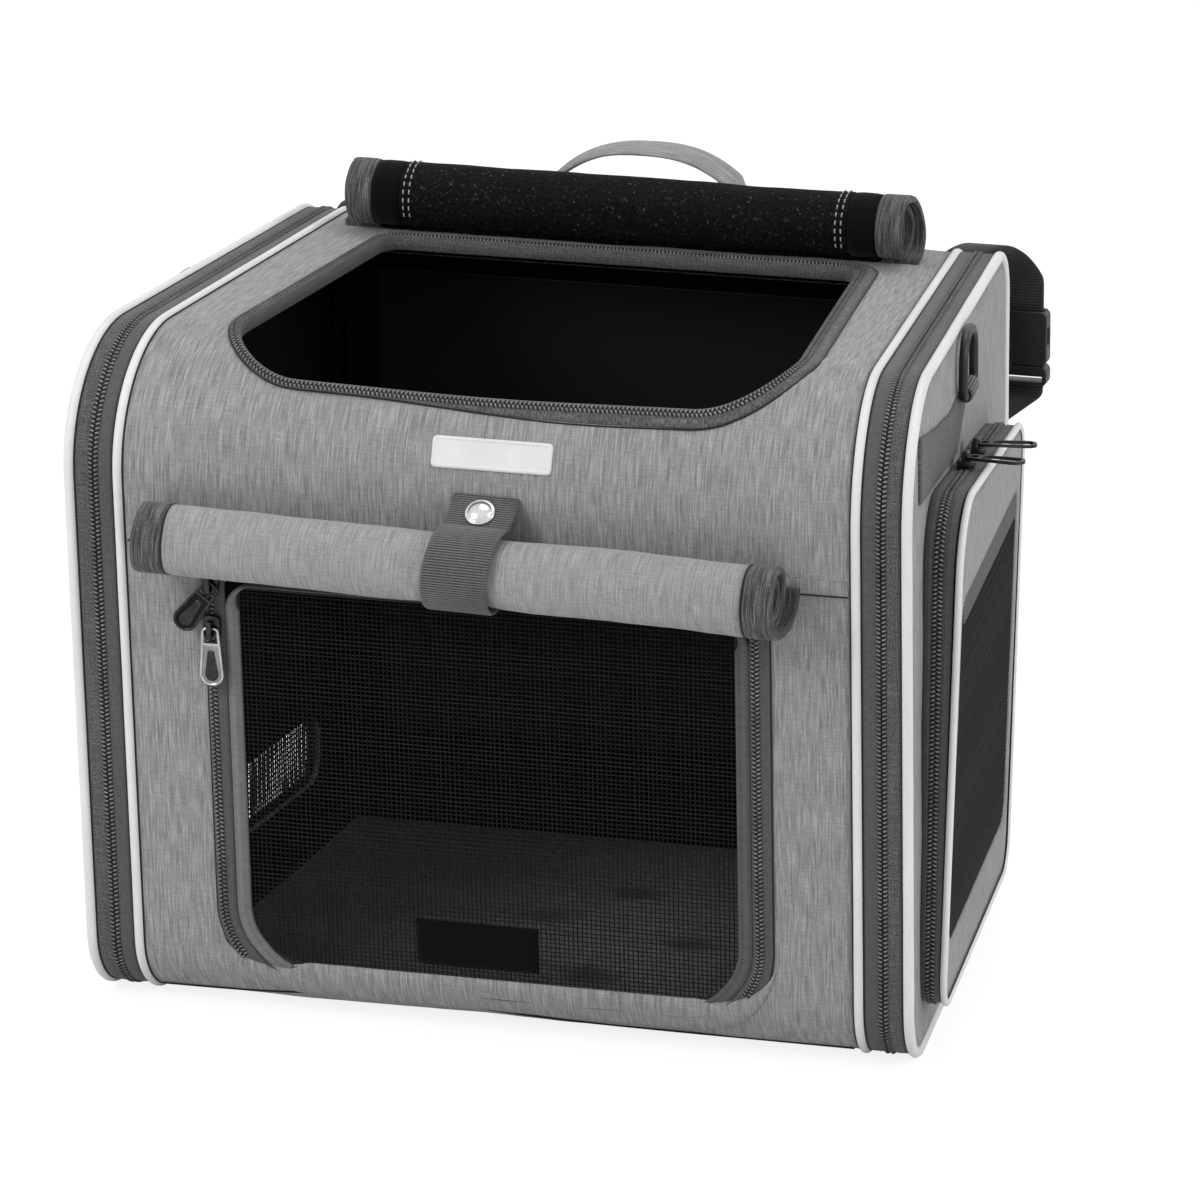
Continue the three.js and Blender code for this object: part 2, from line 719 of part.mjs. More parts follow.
function addPocket() {
  const [root, rim] = [sideFace + GAP, sideFace + GAP + POCKET_DEPTH];
  const cordFrom = rim - POCKET_PIPING;
  const chainMiddle = (root + cordFrom) / 2;
  const gusset = [
    [root, 0], [root, POCKET_CLOTH], [cordFrom - GAP, POCKET_CLOTH], [cordFrom - GAP, 0],
    [chainMiddle + CHAIN_WIDTH / 2, 0], [chainMiddle + CHAIN_WIDTH / 2, -CHAIN_RISE],
    [chainMiddle - CHAIN_WIDTH / 2, -CHAIN_RISE], [chainMiddle - CHAIN_WIDTH / 2, 0],
  ];
  const fit = (geometry) => drawnIn(shallowAtFoot(geometry));
  add('pocket_gusset', fit(sweep(gusset, pocketOutline, true)), trim);
  const cord = roundSection(rim - POCKET_PIPING / 2, 0, POCKET_PIPING / 2);
  add('pocket_piping', fit(sweep(cord, pocketOutline, true)), reflective);

  const faceInset = POCKET_PIPING / 2 + GAP;
  const faceShape = insetShape(pocketOutline, faceInset);
  const meshFrom = pocketFront + MESH_MARGIN;
  const meshTo = pocketRear - MESH_MARGIN;
  faceShape.holes.push(rectangle(meshFrom, meshTo, MESH_FOOT, MESH_TOP, MESH_CORNER));
  add('pocket_face', fit(alongX(faceShape, rim - POCKET_CLOTH, rim)), heather);

  const meshShape = rectangle(meshFrom + GAP, meshTo - GAP, MESH_FOOT + GAP, MESH_TOP - GAP, MESH_CORNER);
  const gaps = gapShapes(
    meshFrom + MESH_CORNER / 2,
    meshTo - MESH_CORNER / 2,
    MESH_FOOT + MESH_CORNER / 2,
    MESH_TOP - ELASTIC,
    POCKET_PITCH,
    POCKET_PITCH_UP,
    POCKET_CORD,
  );
  const cloth = alongX(meshShape, rim - POCKET_CLOTH, rim - POCKET_CLOTH + NET_CLOTH);
  const net = cut(cloth, alongX(gaps, 0, WIDTH));
  const ribs = Math.floor(ELASTIC / (2 * ELASTIC_RIB)) - 1;
  const bars = Array.from({ length: ribs }, (_, i) => {
    const top = MESH_TOP - 2 * ELASTIC_RIB * (i + 1);
    const shape = rectangle(meshFrom + MESH_CORNER, meshTo - MESH_CORNER, top - ELASTIC_RIB, top);
    return alongX(shape, rim - POCKET_CLOTH + NET_CLOTH / 2, rim);
  });
  add('pocket_mesh', fit(join(net, ...bars)), mesh);
}

// Slider of a zip, in a frame whose Y runs along the chain and Z out of the tape
function sliderGeometry() {
  const top = SLIDER_BODY;
  const under = top + PULL_PLATE + 2 * PULL_PLAY;
  const body = prism(
    rectangle(-SLIDER_WIDTH / 2, SLIDER_WIDTH / 2, -SLIDER_LENGTH / 2, SLIDER_LENGTH / 2, SLIDER_WIDTH / 4),
    0,
    top,
  );
  const bridge = rectangle(-BRIDGE_REACH, BRIDGE_REACH, top - PULL_PLAY, under + BRIDGE_BAR);
  const inner = BRIDGE_REACH - BRIDGE_BAR;
  const hole = rectangle(-inner, inner, top, under);
  const arch = alongX(bridge, -BRIDGE_WIDTH / 2, BRIDGE_WIDTH / 2);
  return join(body, cut(arch, alongX(hole, -BRIDGE_WIDTH, BRIDGE_WIDTH)));
}

// Pull that hangs from the slider's bridge: a round eye round the bridge and a long open drop.
// It may swing aside about the eye's centre.
function pullGeometry(turn = 0) {
  const eye = BRIDGE_WIDTH / 2 + EYE_PLAY;
  const head = eye + EYE_RIM;
  const eyeAt = EYE_RIM / 2 - head;
  const tailRound = PULL_TAIL - PULL_RIM / 2;
  const outline = roundedCorners([
    [-head, EYE_RIM / 2, head - GAP, CORNER_STEPS],
    [-PULL_TAIL, -PULL_LENGTH, tailRound, SMALL_CORNER_STEPS],
    [PULL_TAIL, -PULL_LENGTH, tailRound, SMALL_CORNER_STEPS],
    [head, EYE_RIM / 2, head - GAP, CORNER_STEPS],
  ]).flat();
  const shape = insetShape(outline, 0);
  shape.holes.push(new THREE.Path().absarc(0, eyeAt, eye, 0, 2 * Math.PI));
  const drop = PULL_TAIL - PULL_RIM;
  const dropTop = eyeAt - eye - PULL_RIM;
  shape.holes.push(rectangle(-drop, drop, -PULL_LENGTH + PULL_RIM, dropTop, PULL_ROUND));
  const low = SLIDER_BODY + PULL_PLAY;
  const pull = prism(shape, low, low + PULL_PLATE).translate(0, -eyeAt, 0);
  return pull.rotateZ(THREE.MathUtils.degToRad(turn)).translate(0, eyeAt, 0);
}

function addDoorSliders() {
  const upper = FRONT_ROLL_HEIGHT - FRONT_ROLL / 2 - SLIDER_UNDER_ROLL;
  const places = [
    ['lower', upper - SLIDER_LENGTH - SLIDER_SPACE, 0],
    ['upper', upper, UPPER_PULL_TURN],
  ];
  for (const [name, height, turn] of places) {
    const slider = new THREE.Group();
    slider.position.set(-DOOR_HALF + TAPE / 2, upFront(height), 2 * GAP + TRIM);
    front.add(slider);
    add(`door_slider_${name}`, sliderGeometry(), gunmetal, slider);
    add(`door_pull_${name}`, pullGeometry(turn), gunmetal, slider);
  }
}

// Pocket sliders ride on top of the pocket's gusset, their pulls sticking out over the face
function addPocketSliders() {
  const slope = Math.atan((POCKET_TOP_FRONT - POCKET_TOP_REAR) / (pocketRear - pocketFront));
  const middle = sideFace + GAP + (POCKET_DEPTH - POCKET_PIPING) / 2;
  const droop = THREE.MathUtils.degToRad(POCKET_PULL_DROOP);
  POCKET_SLIDER_REACHES.forEach((reach, i) => {
    const place = pocketFront + reach;
    const slider = new THREE.Group();
    const top = POCKET_TOP_FRONT - reach * Math.tan(slope);
    slider.position.set(middle * drawInAt(place), place, top + CHAIN_RISE + GAP);
    slider.rotation.set(-slope, 0, Math.atan(REAR_DRAW_IN / DEPTH));
    const pull = pullGeometry().rotateZ(Math.PI / 2 - (1 - 2 * i) * droop);
    const neck = SLIDER_BODY - PULL_PLAY;
    const play = PULL_PLATE + 2 * PULL_PLAY;
    const post = block(BRIDGE_REACH, BRIDGE_REACH, play, 0, 0, neck + play / 2);
    add(`pocket_slider_${i ? 'rear' : 'front'}`, join(sliderGeometry(), pull, post), gunmetal, slider);
    basket.add(slider);
  });
}

// A sheet rolled up: a spiral strip whose outer end lies at the given angle
function spiralShape(diameter, turns, start) {
  const points = [];
  const steps = Math.round(turns * ROLL_STEPS);
  const curve = (i, depth) => {
    const angle = start + 2 * Math.PI * i / ROLL_STEPS;
    const radius = diameter / 2 - (ROLL_CLOTH + ROLL_SPACE) * i / ROLL_STEPS - depth;
    return new THREE.Vector2(radius * Math.cos(angle), radius * Math.sin(angle));
  };
  for (let i = 0; i <= steps; i += 1) points.push(curve(i, 0));
  for (let i = steps; i >= 0; i -= 1) points.push(curve(i, ROLL_CLOTH));
  return new THREE.Shape(points);
}

function rollTurns(diameter) {
  return Math.floor(diameter / 2 / (ROLL_CLOTH + ROLL_SPACE)) / 2 + 1 / 2;
}

// Least distance from a spiral's inner side to the outer side of the turns within it
function leastTurnGap(shape) {
  const points = shape.getPoints();
  const outer = points.slice(0, points.length / 2);
  const inner = points.slice(points.length / 2).reverse();
  let least = Infinity;
  inner.forEach((point, i) => {
    for (const other of outer.slice(i + ROLL_STEPS / 2)) least = Math.min(least, point.distanceTo(other));
  });
  return least;
}

// Three lengths of one rolled flap: the cloth and a bound edge at each end
function addRoll(name, diameter, half, end, start, look, endLook, parent) {
  const shape = spiralShape(diameter, rollTurns(diameter), start);
  console.log(`${name}: least gap between its turns ${leastTurnGap(shape).toFixed(2)} mm`);
  const rest = half - end - GAP;
  add(name, alongX(shape, -rest, rest), look, parent);
  add(`${name}_end_right`, alongX(shape, half - end, half), endLook, parent);
  add(`${name}_end_left`, alongX(shape, -half, end - half), endLook, parent);
}

const frontRoll = new THREE.Group();
frontRoll.position.set(FRONT_ROLL_SHIFT, upFront(FRONT_ROLL_HEIGHT), GAP);
frontRoll.rotation.z = THREE.MathUtils.degToRad(FRONT_ROLL_TILT);
front.add(frontRoll);

function addFrontRoll() {
  const roll = new THREE.Group();
  roll.position.z = FRONT_ROLL / 2;
  frontRoll.add(roll);
  addRoll('front_flap_roll', FRONT_ROLL, FRONT_ROLL_HALF, ROLL_END, -Math.PI / 2, heather, trim, roll);
}

// Strap that holds the roll: from the panel under it, round it, and back to the wall above it
function addFlapStrap() {
  const wrap = FRONT_ROLL / 2 + GAP + WEBBING / 2;
  const from = Math.acos((FRONT_ROLL / 2 - WEBBING / 2) / wrap) - Math.PI;
  const to = THREE.MathUtils.degToRad(STRAP_LEAVES);
  const points = [];
  for (let i = 0; i <= ROLL_STEPS; i += 1) {
    const angle = from + (to - from) * i / ROLL_STEPS;
    points.push(new THREE.Vector3(0, wrap * Math.sin(angle), FRONT_ROLL / 2 + wrap * Math.cos(angle)));
  }
  const slope = THREE.MathUtils.degToRad(TAB_SLOPE);
  const down = new THREE.Vector3(0, Math.cos(slope), -Math.sin(slope));
  const last = points.at(-1);
  const reach = (last.z - WEBBING / 2 * Math.cos(slope)) / Math.sin(slope);
  points.push(last.clone().addScaledVector(down, WEBBING));
  points.push(last.clone().addScaledVector(down, reach));
  const strap = webbing(points, points.map(() => FLAP_STRAP), WEBBING, [new THREE.Vector3(1, 0, 0)]);
  const place = new THREE.Group();
  place.position.x = FLAP_STRAP_PLACE - FRONT_ROLL_SHIFT;
  frontRoll.add(place);
  add('flap_strap', strap, trim, place);

  const dome = new THREE.LatheGeometry([
    new THREE.Vector2(0, 0),
    new THREE.Vector2(SNAP_RADIUS, 0),
    new THREE.Vector2(SNAP_RADIUS, SNAP_RIM),
    ...domeShares.map(([out, up]) => new THREE.Vector2(SNAP_RADIUS * out, SNAP_DOME * up)),
  ], 2 * CORD_SIDES).rotateX(Math.PI / 2).translate(0, 0, WEBBING / 2 + GAP);
  const snap = add('snap_cap', dome, nickel, place);
  snap.position.copy(last).addScaledVector(down, reach / 2);
  snap.rotation.x = -slope;
}

// Bare plate on the curve of the shoulder
function addPlate() {
  const shape = rectangle(
    -PLATE_WIDTH / 2, PLATE_WIDTH / 2, -PLATE_HEIGHT / 2, PLATE_HEIGHT / 2, PLATE_CORNER,
  );
  const plate = new THREE.Group();
  const tip = THREE.MathUtils.degToRad(PLATE_ANGLE);
  const out = SHOULDER_RADIUS + GAP;
  const centre = shoulder[0].point.clone().addScaledVector(shoulder[0].normal, -SHOULDER_RADIUS);
  plate.position.set(PLATE_PLACE, centre.x - out * Math.cos(tip), centre.y + out * Math.sin(tip));
  plate.rotation.x = Math.PI / 2 - tip;
  add('face_plate', prism(shape, 0, PLATE_THICKNESS), plateWhite, plate);
  basket.add(plate);
}

function roofAt(y) {
  return FRONT_HEIGHT - (FRONT_HEIGHT - REAR_HEIGHT) * (y + DEPTH / 2) / DEPTH;
}

function addTopRoll() {
  const roll = new THREE.Group();
  const lift = GAP + TOP_ROLL / 2;
  const place = DEPTH / 2 - TOP_ROLL_MARGIN;
  roll.position.set(0, place, roofAt(place) + lift);
  basket.add(roll);
  addRoll('top_flap_roll', TOP_ROLL, TOP_ROLL_HALF, TOP_ROLL_END, -Math.PI / 2, mesh, trim, roll);
}

// Carry handle: an arch of webbing, turned edge to edge between each foot and its top
function addHandle() {
  const handle = new THREE.Group();
  const place = DEPTH / 2 - HANDLE_MARGIN;
  handle.position.set(0, place, roofAt(place) + HANDLE_FOOT_GAP);
  basket.add(handle);
  const points = [];
  const widths = [];
  const widthAxes = [];
  for (let i = 0; i <= HANDLE_STEPS; i += 1) {
    const share = 2 * i / HANDLE_STEPS - 1;
    const rise = HANDLE_RISE * (1 - Math.abs(share) ** HANDLE_FULLNESS);
    points.push(new THREE.Vector3(HANDLE_HALF * share, 0, rise));
    const turned = Math.min(rise / HANDLE_TWIST, 1);
    widths.push(HANDLE_FOOT_WIDTH + (HANDLE_WIDTH - HANDLE_FOOT_WIDTH) * turned);
    const turn = turned * Math.PI / 2;
    widthAxes.push(new THREE.Vector3(-Math.sign(share) * Math.cos(turn), Math.sin(turn), 0));
  }
  add('carry_handle', webbing(points, widths, HANDLE_THICKNESS, widthAxes), heather, handle);
}

// Ring strap on each side: a tapering strap that ends in a loop round the ring's bar
function addRingStraps() {
  const strapFront = STRAP_FRONT_MARGIN - DEPTH / 2;
  const strapShape = new THREE.Shape(strapShares.map(([along, up]) => new THREE.Vector2(
    strapFront + STRAP_LENGTH * along,
    STRAP_FOOT + (STRAP_TOP - STRAP_FOOT) * up,
  )));
  const from = sideFace + GAP;
  const bore = RING_WIRE / 2 + LOOP_PLAY;
  const loopOuter = bore + WEBBING;
  const strap = alongX(strapShape, from, from + WEBBING);
  const tube = new THREE.CylinderGeometry(loopOuter, loopOuter, LOOP_WIDTH, 2 * CORD_SIDES);
  const hole = new THREE.CylinderGeometry(bore, bore, 2 * LOOP_WIDTH, 2 * CORD_SIDES);
  const tab = block(WEBBING, LOOP_WIDTH, 2 * loopOuter, WEBBING / 2 - loopOuter, 0, -loopOuter);
  const loop = cut(join(tube, tab), hole);
  const ring = roundedCorners([
    [-RING_WIDTH / 2, 0, RING_CORNER, SMALL_CORNER_STEPS],
    [RING_WIDTH / 2, 0, RING_CORNER, SMALL_CORNER_STEPS],
    [RING_WIDTH / 2, RING_HEIGHT, RING_ARCH, CORNER_STEPS],
    [-RING_WIDTH / 2, RING_HEIGHT, RING_ARCH, CORNER_STEPS],
  ]).flat();
  const wireRing = sweep(roundSection(0, 0, RING_WIRE / 2), ring, true);
  const place = [from + loopOuter, strapFront + STRAP_LENGTH - LOOP_WIDTH / 2, RING_BAR_HEIGHT];
  addPair('ring_strap', join(strap, loop.translate(...place)), trim);
  addPair('d_ring', wireRing.translate(...place), plastic);
}

// Strap that goes over the handlebar from the back panel down to the buckle
function barStraps() {
  const skinGap = GAP + WEBBING / 2;
  const wrap = BAR_RADIUS + BAR_PLAY + WEBBING / 2;
  const barY = DEPTH / 2 + WEBBING + GAP + BAR_RADIUS + BAR_PLAY;
  const points = [new THREE.Vector3(BAR_STRAP_PLACE, DEPTH / 2 + skinGap, BAR_HEIGHT - STRAP_SEWN)];
  for (let i = 0; i <= ROLL_STEPS / 2; i += 1) {
    const angle = Math.PI * (1 - i / (ROLL_STEPS / 2));
    points.push(new THREE.Vector3(
      BAR_STRAP_PLACE + (BUCKLE_PLACE - BAR_STRAP_PLACE) * i / (ROLL_STEPS / 2),
      barY + wrap * Math.cos(angle),
      BAR_HEIGHT + wrap * Math.sin(angle),
    ));
  }
  const buckleY = barY + wrap;
  points.push(new THREE.Vector3(BUCKLE_PLACE, buckleY, BUCKLE_TOP - SLOT / 2));
  const across = new THREE.Vector3(1, 0, 0);
  const strap = webbing(points, points.map(() => BAR_STRAP), WEBBING, [across]);
  const plugFoot = BUCKLE_TOP - BUCKLE_BODY - 2 * GAP - BUCKLE_BASE;
  const sewnAt = DEPTH / 2 + skinGap;
  const lowerPoints = [
    new THREE.Vector3(BAR_STRAP_PLACE, sewnAt, LOWER_STRAP_FOOT),
    new THREE.Vector3(BAR_STRAP_PLACE, sewnAt, LOWER_STRAP_FOOT + BAR_STRAP),
    new THREE.Vector3(BUCKLE_PLACE, buckleY, plugFoot - BUCKLE_BASE / 2),
    new THREE.Vector3(BUCKLE_PLACE, buckleY, plugFoot),
  ];
  const lowerStrap = webbing(lowerPoints, lowerPoints.map(() => BAR_STRAP), WEBBING, [across]);
  return { strap, lowerStrap, buckleY };
}

// Side-release buckle, in a frame whose Z runs up the strap: socket above, plug below
function buckleGeometries() {
  const half = BUCKLE_WIDTH / 2;
  const depth = BUCKLE_DEPTH / 2;
  const cavity = half - BUCKLE_SHELL;
  const upright = (shape, reach) => prism(shape, -reach, reach).rotateX(Math.PI / 2);
  const shell = upright(rectangle(-half, half, -BUCKLE_BODY, 0, BUCKLE_CORNER), depth);
  const hollow = BUCKLE_DEPTH - 2 * BUCKLE_SHELL;
  const mouth = block(2 * cavity, hollow, 2 * (PRONG_REACH + GAP), 0, 0, -BUCKLE_BODY);
  const windowHeight = PRONG_HEAD + 2 * GAP;
  const windowMiddle = -BUCKLE_BODY + PRONG_REACH - PRONG_HEAD / 2;
  const windows = block(2 * BUCKLE_WIDTH, hollow, windowHeight, 0, 0, windowMiddle);
  const strapSlot = block(BAR_STRAP + 2 * GAP, WEBBING + 4 * GAP, 2 * SLOT, 0, 0, 0);
  const socket = cut(shell, mouth, windows, strapSlot);

  const tongueDepth = hollow - 2 * GAP;
  const plate = upright(rectangle(-half, half, -BUCKLE_BASE, 0, BUCKLE_CORNER), depth);
  const middle = PRONG_REACH / 2 - BUCKLE_CORNER / 2;
  const reach = PRONG_REACH + BUCKLE_CORNER;
  const tongue = block(TONGUE_WIDTH, tongueDepth, reach, 0, 0, middle);
  const prongAt = cavity - GAP - PRONG_WIDTH / 2;
  const prongs = [-prongAt, prongAt].map((x) => block(PRONG_WIDTH, tongueDepth, reach, x, 0, middle));
  const bareSlot = block(BAR_STRAP + 2 * GAP, 2 * BUCKLE_DEPTH, SLOT, 0, 0, -BUCKLE_BASE / 2 - SLOT / 2);
  const plug = cut(join(plate, tongue, ...prongs), bareSlot);
  return { socket, plug: plug.translate(0, 0, -BUCKLE_BODY - GAP) };
}

function addBuckles() {
  const { strap, lowerStrap, buckleY } = barStraps();
  const { socket, plug } = buckleGeometries();
  for (const [side, sign] of SIDES) {
    add(`bar_strap_${side}`, sign > 0 ? strap.clone() : mirrored(strap), trim);
    add(`lower_strap_${side}`, sign > 0 ? lowerStrap.clone() : mirrored(lowerStrap), trim);
    const buckle = new THREE.Group();
    buckle.position.set(sign * BUCKLE_PLACE, buckleY, BUCKLE_TOP);
    basket.add(buckle);
    add(`buckle_socket_${side}`, socket.clone(), plastic, buckle);
    add(`buckle_plug_${side}`, plug.clone(), plastic, buckle);
  }
}

// Boards, mat and wire hoops inside the cloth
function addInside() {
  const floor = WALL + base + GAP;
  const front = foot[0].point.x + BOARD_MARGIN;
  const rear = rearFoot.at(-1).point.x - BOARD_MARGIN;
  const half = centreHalf - BOARD_MARGIN;
  const board = prism(rectangle(-half, half, front, rear, BOARD_MARGIN), floor, floor + BOARD);
  add('bottom_board', drawnIn(board), boardGrey);

  const backFace = DEPTH / 2 - WALL - GAP;
  const backBoard = block(
    2 * half, BOARD, rearTop.at(-1).point.y - rearFoot[0].point.y - 2 * BOARD_MARGIN,
    0, backFace - BOARD / 2, (rearTop.at(-1).point.y + rearFoot[0].point.y) / 2,
  );
  add('back_board', drawnIn(backBoard), boardGrey);

  const matFloor = floor + BOARD + GAP;
  const matFront = foot[0].point.x - MAT_MARGIN;
  const matRear = rearFoot.at(-1).point.x + MAT_MARGIN;
  const matHalf = centreHalf - MAT_MARGIN;
  const mat = new THREE.BoxGeometry(1, 1, 1, MAT_COLUMNS, MAT_ROWS, 2);
  const position = mat.attributes.position;
  for (let i = 0; i < position.count; i += 1) {
    const [u, v, w] = [2 * position.getX(i), 2 * position.getY(i), position.getZ(i) + 1 / 2];
    const crown = MAT_CROWN * (1 - u ** 4) * (1 - v ** 4) * w;
    const waist = w === 1 / 2 ? 0 : 1;
    const draw = MAT_DRAW_IN;
    const x = u * (matHalf - draw * (1 - v * v) - draw * waist / 2);
    const reach = (matRear - matFront) / 2 - draw * (1 - u * u) - draw * waist / 2;
    const y = (matFront + matRear) / 2 + v * reach;
    position.setXYZ(i, x, y, matFloor + (MAT_HEIGHT - MAT_CROWN) * w + crown);
  }
  add('floor_mat', drawnIn(mat), matGrey);

  const wireDepth = WALL + GAP + HOOP_WIRE / 2;
  const hoop = roundSection(centreHalf - HOOP_MARGIN, wireDepth, HOOP_WIRE / 2, CORD_SIDES - 2);
  addPair('frame_hoop', sweep(hoop, profile, true), wire);
}

addFrontPanels();
addDoor();
addDoorSliders();
addUpperPanel();
addBackAndBase();
addBands();
addFolds();
addSides();
addPocket();
addPocketSliders();
addFrontRoll();
addFlapStrap();
addPlate();
addTopRoll();
addHandle();
addRingStraps();
addBuckles();
addInside();

export default basket;
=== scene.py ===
import math

import bmesh
import bpy
import numpy as np
from mathutils import Matrix, Vector, noise
from mathutils.geometry import delaunay_2d_cdt


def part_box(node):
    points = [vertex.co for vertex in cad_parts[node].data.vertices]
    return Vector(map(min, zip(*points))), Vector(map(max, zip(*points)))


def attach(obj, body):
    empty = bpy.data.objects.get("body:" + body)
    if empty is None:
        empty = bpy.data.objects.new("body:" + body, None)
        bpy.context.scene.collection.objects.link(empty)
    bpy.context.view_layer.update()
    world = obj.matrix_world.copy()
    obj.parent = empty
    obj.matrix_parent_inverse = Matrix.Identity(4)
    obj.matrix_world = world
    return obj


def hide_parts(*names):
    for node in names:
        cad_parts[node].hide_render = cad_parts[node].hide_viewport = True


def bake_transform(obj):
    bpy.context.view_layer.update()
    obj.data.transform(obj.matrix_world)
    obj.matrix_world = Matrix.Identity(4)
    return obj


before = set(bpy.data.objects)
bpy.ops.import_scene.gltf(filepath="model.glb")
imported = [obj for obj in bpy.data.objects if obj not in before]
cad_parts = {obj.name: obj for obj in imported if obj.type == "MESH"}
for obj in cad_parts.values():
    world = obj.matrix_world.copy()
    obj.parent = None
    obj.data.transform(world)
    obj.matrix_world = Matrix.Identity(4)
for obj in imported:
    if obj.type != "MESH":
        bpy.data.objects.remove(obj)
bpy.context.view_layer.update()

# Lengths are in millimetres until a mesh is made
MM = 0.001

# Body
WIDTH = 400
DEPTH = 300
FRONT_HEIGHT = 322
REAR_HEIGHT = 316
BASE = 2
FRONT_LEAN = 18
REAR_DRAW_IN = 27
FOOT_RADIUS = 32
SHOULDER_RADIUS = 58
REAR_TOP_RADIUS = 24
REAR_FOOT_RADIUS = 40
WALL = 5
SEAM_HEIGHT = 232
GAP = 0.3
CLOTH_PITCH = 4
ARC_STEPS = 20

# Side bands
BAND = 26
INNER_PIPING = 4.6
OUTER_PIPING = 5
PIPING_RISE = 2
GUSSET = 2.5
TOOTH_PITCH = 2.1
SIDE_TEETH_HALF = 2.2
SIDE_TEETH_RISE = 1.3
SIDE_TEETH_GAP = 0.35
SIDE_RECESS = 1.2
SIDE_WALL = 4
FOLD_DEPTH = 9
FOLD_CLOTH = 0.8
FOLD_PLEATS = 3
SEAM_THREAD = 0.45
SEAM_LIFT = 0.15

# Door
DOOR_HALF = 134.5
DOOR_FOOT = 11
DOOR_TOP = 224
ZIP_TOP = 232
DOOR_CORNER = 44
TAPE = 10
TRIM = 2
DOOR_BINDING = 6.5
NET_PITCH = 2.2
NET_THREAD = 0.62
COVER_FROM = 188
COVER_TO = 494
COVER_RAMP = 62
COVER_OUT = 1.5
COVER_PAST = 2.3
COVER_SLOPE = 3
COIL_LANES = (2.6, 7.6)
DOOR_TEETH_HALF = 1.9
DOOR_TEETH_RISE = 1.2
PATCH_WIDTH = 59
PATCH_HEIGHT = 22
PATCH_MIDDLE = 44.5
PATCH_SHIFT = -8

# Top opening
OPENING_HALF = 141
OPENING_REAR_HALF = 134
OPENING_FRONT = 128
OPENING_BOW = 3
OPENING_REAR = 88
OPENING_CORNER = 46
OPENING_REAR_CORNER = 14
BOW_RADIUS = 1800
TOP_TAPE_OUT = 6
TOP_TAPE_IN = 4
TOP_TAPE_HANG = 6
TOP_TEETH_HALF = 1.8
TOP_TEETH_RISE = 1.1
TOP_TEETH_PLACE = 1.2

# Rolled flaps
FRONT_ROLL = 36
FRONT_ROLL_HALF = 152
FRONT_ROLL_SHIFT = -6.5
FRONT_ROLL_HEIGHT = 237
FRONT_ROLL_TILT = -1.4
TOP_ROLL = 35
TOP_ROLL_HALF = 139
TOP_ROLL_PLACE = 97.5
ROLL_END = 16
TOP_ROLL_END = 15
TOP_ROLL_BORDER = 14
ROLL_CLOTH = 2.4
ROLL_SPACE = 1
BINDING_RISE = 0.35
FRONT_ROLL_SEED = 3
TOP_ROLL_SEED = 11
PINCH = 0.9
PINCH_REACH = 22
ROLL_EDGE_OUT = 3
ROLL_EDGE_IN = 7
ROLL_EDGE_UNEVEN = 2.2
FLAP_STRAP = 31
FLAP_STRAP_PLACE = 2
WEBBING = 1.6
STRAP_LEAVES = 100
TAB_SLOPE = 55
STRAP_SKEW = 5.5
SNAP_RADIUS = 7
SNAP_DOME = 3
PLATE_WIDTH = 56.5
PLATE_HEIGHT = 14.5
PLATE_THICKNESS = 1.6
PLATE_CORNER = 2
PLATE_PLACE = 4
PLATE_ANGLE = 21

# Sides
POCKET_FRONT = -110
POCKET_REAR = 95
POCKET_TOP_FRONT = 266
POCKET_TOP_REAR = 247
POCKET_FOOT = 24
POCKET_DEPTH = 19
POCKET_FOOT_DEPTH = 10.5
POCKET_FRONT_RADIUS = 30
POCKET_REAR_RADIUS = 20
POCKET_FOOT_RADIUS = 16
POCKET_CLOTH = 1.6
POCKET_PIPING = 3.4
POCKET_PIPING_PROUD = 1.2
MESH_FOOT = 52
MESH_TOP = 217
MESH_MARGIN = 13
MESH_CORNER = 10
ELASTIC = 12
POCKET_NET_PITCH = 1.7
POCKET_NET_THREAD = 0.75
WINDOW_FRONT = -40
WINDOW_REAR = 132
WINDOW_FOOT = 24
WINDOW_TOP = 60
WINDOW_CORNER = 12
WINDOW_BINDING = 7
WINDOW_NET_PITCH = 2.6
WINDOW_NET_THREAD = 1
STRAP_FRONT = -125
STRAP_REAR = 12
STRAP_TOP = 301
STRAP_FOOT = 262
STRAP_SHARES = [(0, 1), (0.34, 0.78), (0.64, 0.64), (0.78, 0.68), (1, 0.68), (1, 0.45), (0.8, 0), (0, 0.2)]
RING_BAR_HEIGHT = 288
RING_WIRE = 4
RING_WIDTH = 32
RING_HEIGHT = 28
RING_ARCH = 13
RING_CORNER = 3
LOOP_PLAY = 0.4
LOOP_WIDTH = 21

# Handle, rear straps
HANDLE_PLACE = 132
HANDLE_HALF = 64
HANDLE_RISE = 40
HANDLE_WIDTH = 25
HANDLE_FOOT_WIDTH = 19
HANDLE_THICKNESS = 3.5
HANDLE_FOOT_GAP = 0.1
HANDLE_TWIST = 26
HANDLE_FULLNESS = 2.6
BAR_RADIUS = 16
BAR_PLAY = 2
BAR_HEIGHT = 290
BAR_STRAP = 20
BAR_STRAP_PLACE = 136
STRAP_SEWN = 26
BUCKLE_PLACE = 171
BUCKLE_TOP = 274
BUCKLE_BODY = 27
BUCKLE_BASE = 10
SLOT = 3
LOWER_STRAP_FOOT = 188

# Door sliders and their pulls
SLIDER_UNDER_ROLL = 4
SLIDER_STEP = 22
UPPER_PULL_TURN = -38
PULL_HEAD = 4.1
PULL_TOP = 0.8
PULL_LENGTH = 28
PULL_TAIL = 6.4
PULL_TURN_AT = -3.3
PULL_LEVEL = 4.4
PULL_RIM = 0.75
PULL_WAIST = 7.5
DROP_TOP = -10.5
DROP_FOOT = -25.6
DROP_NECK = 1.5
DROP_HALF = 3.7

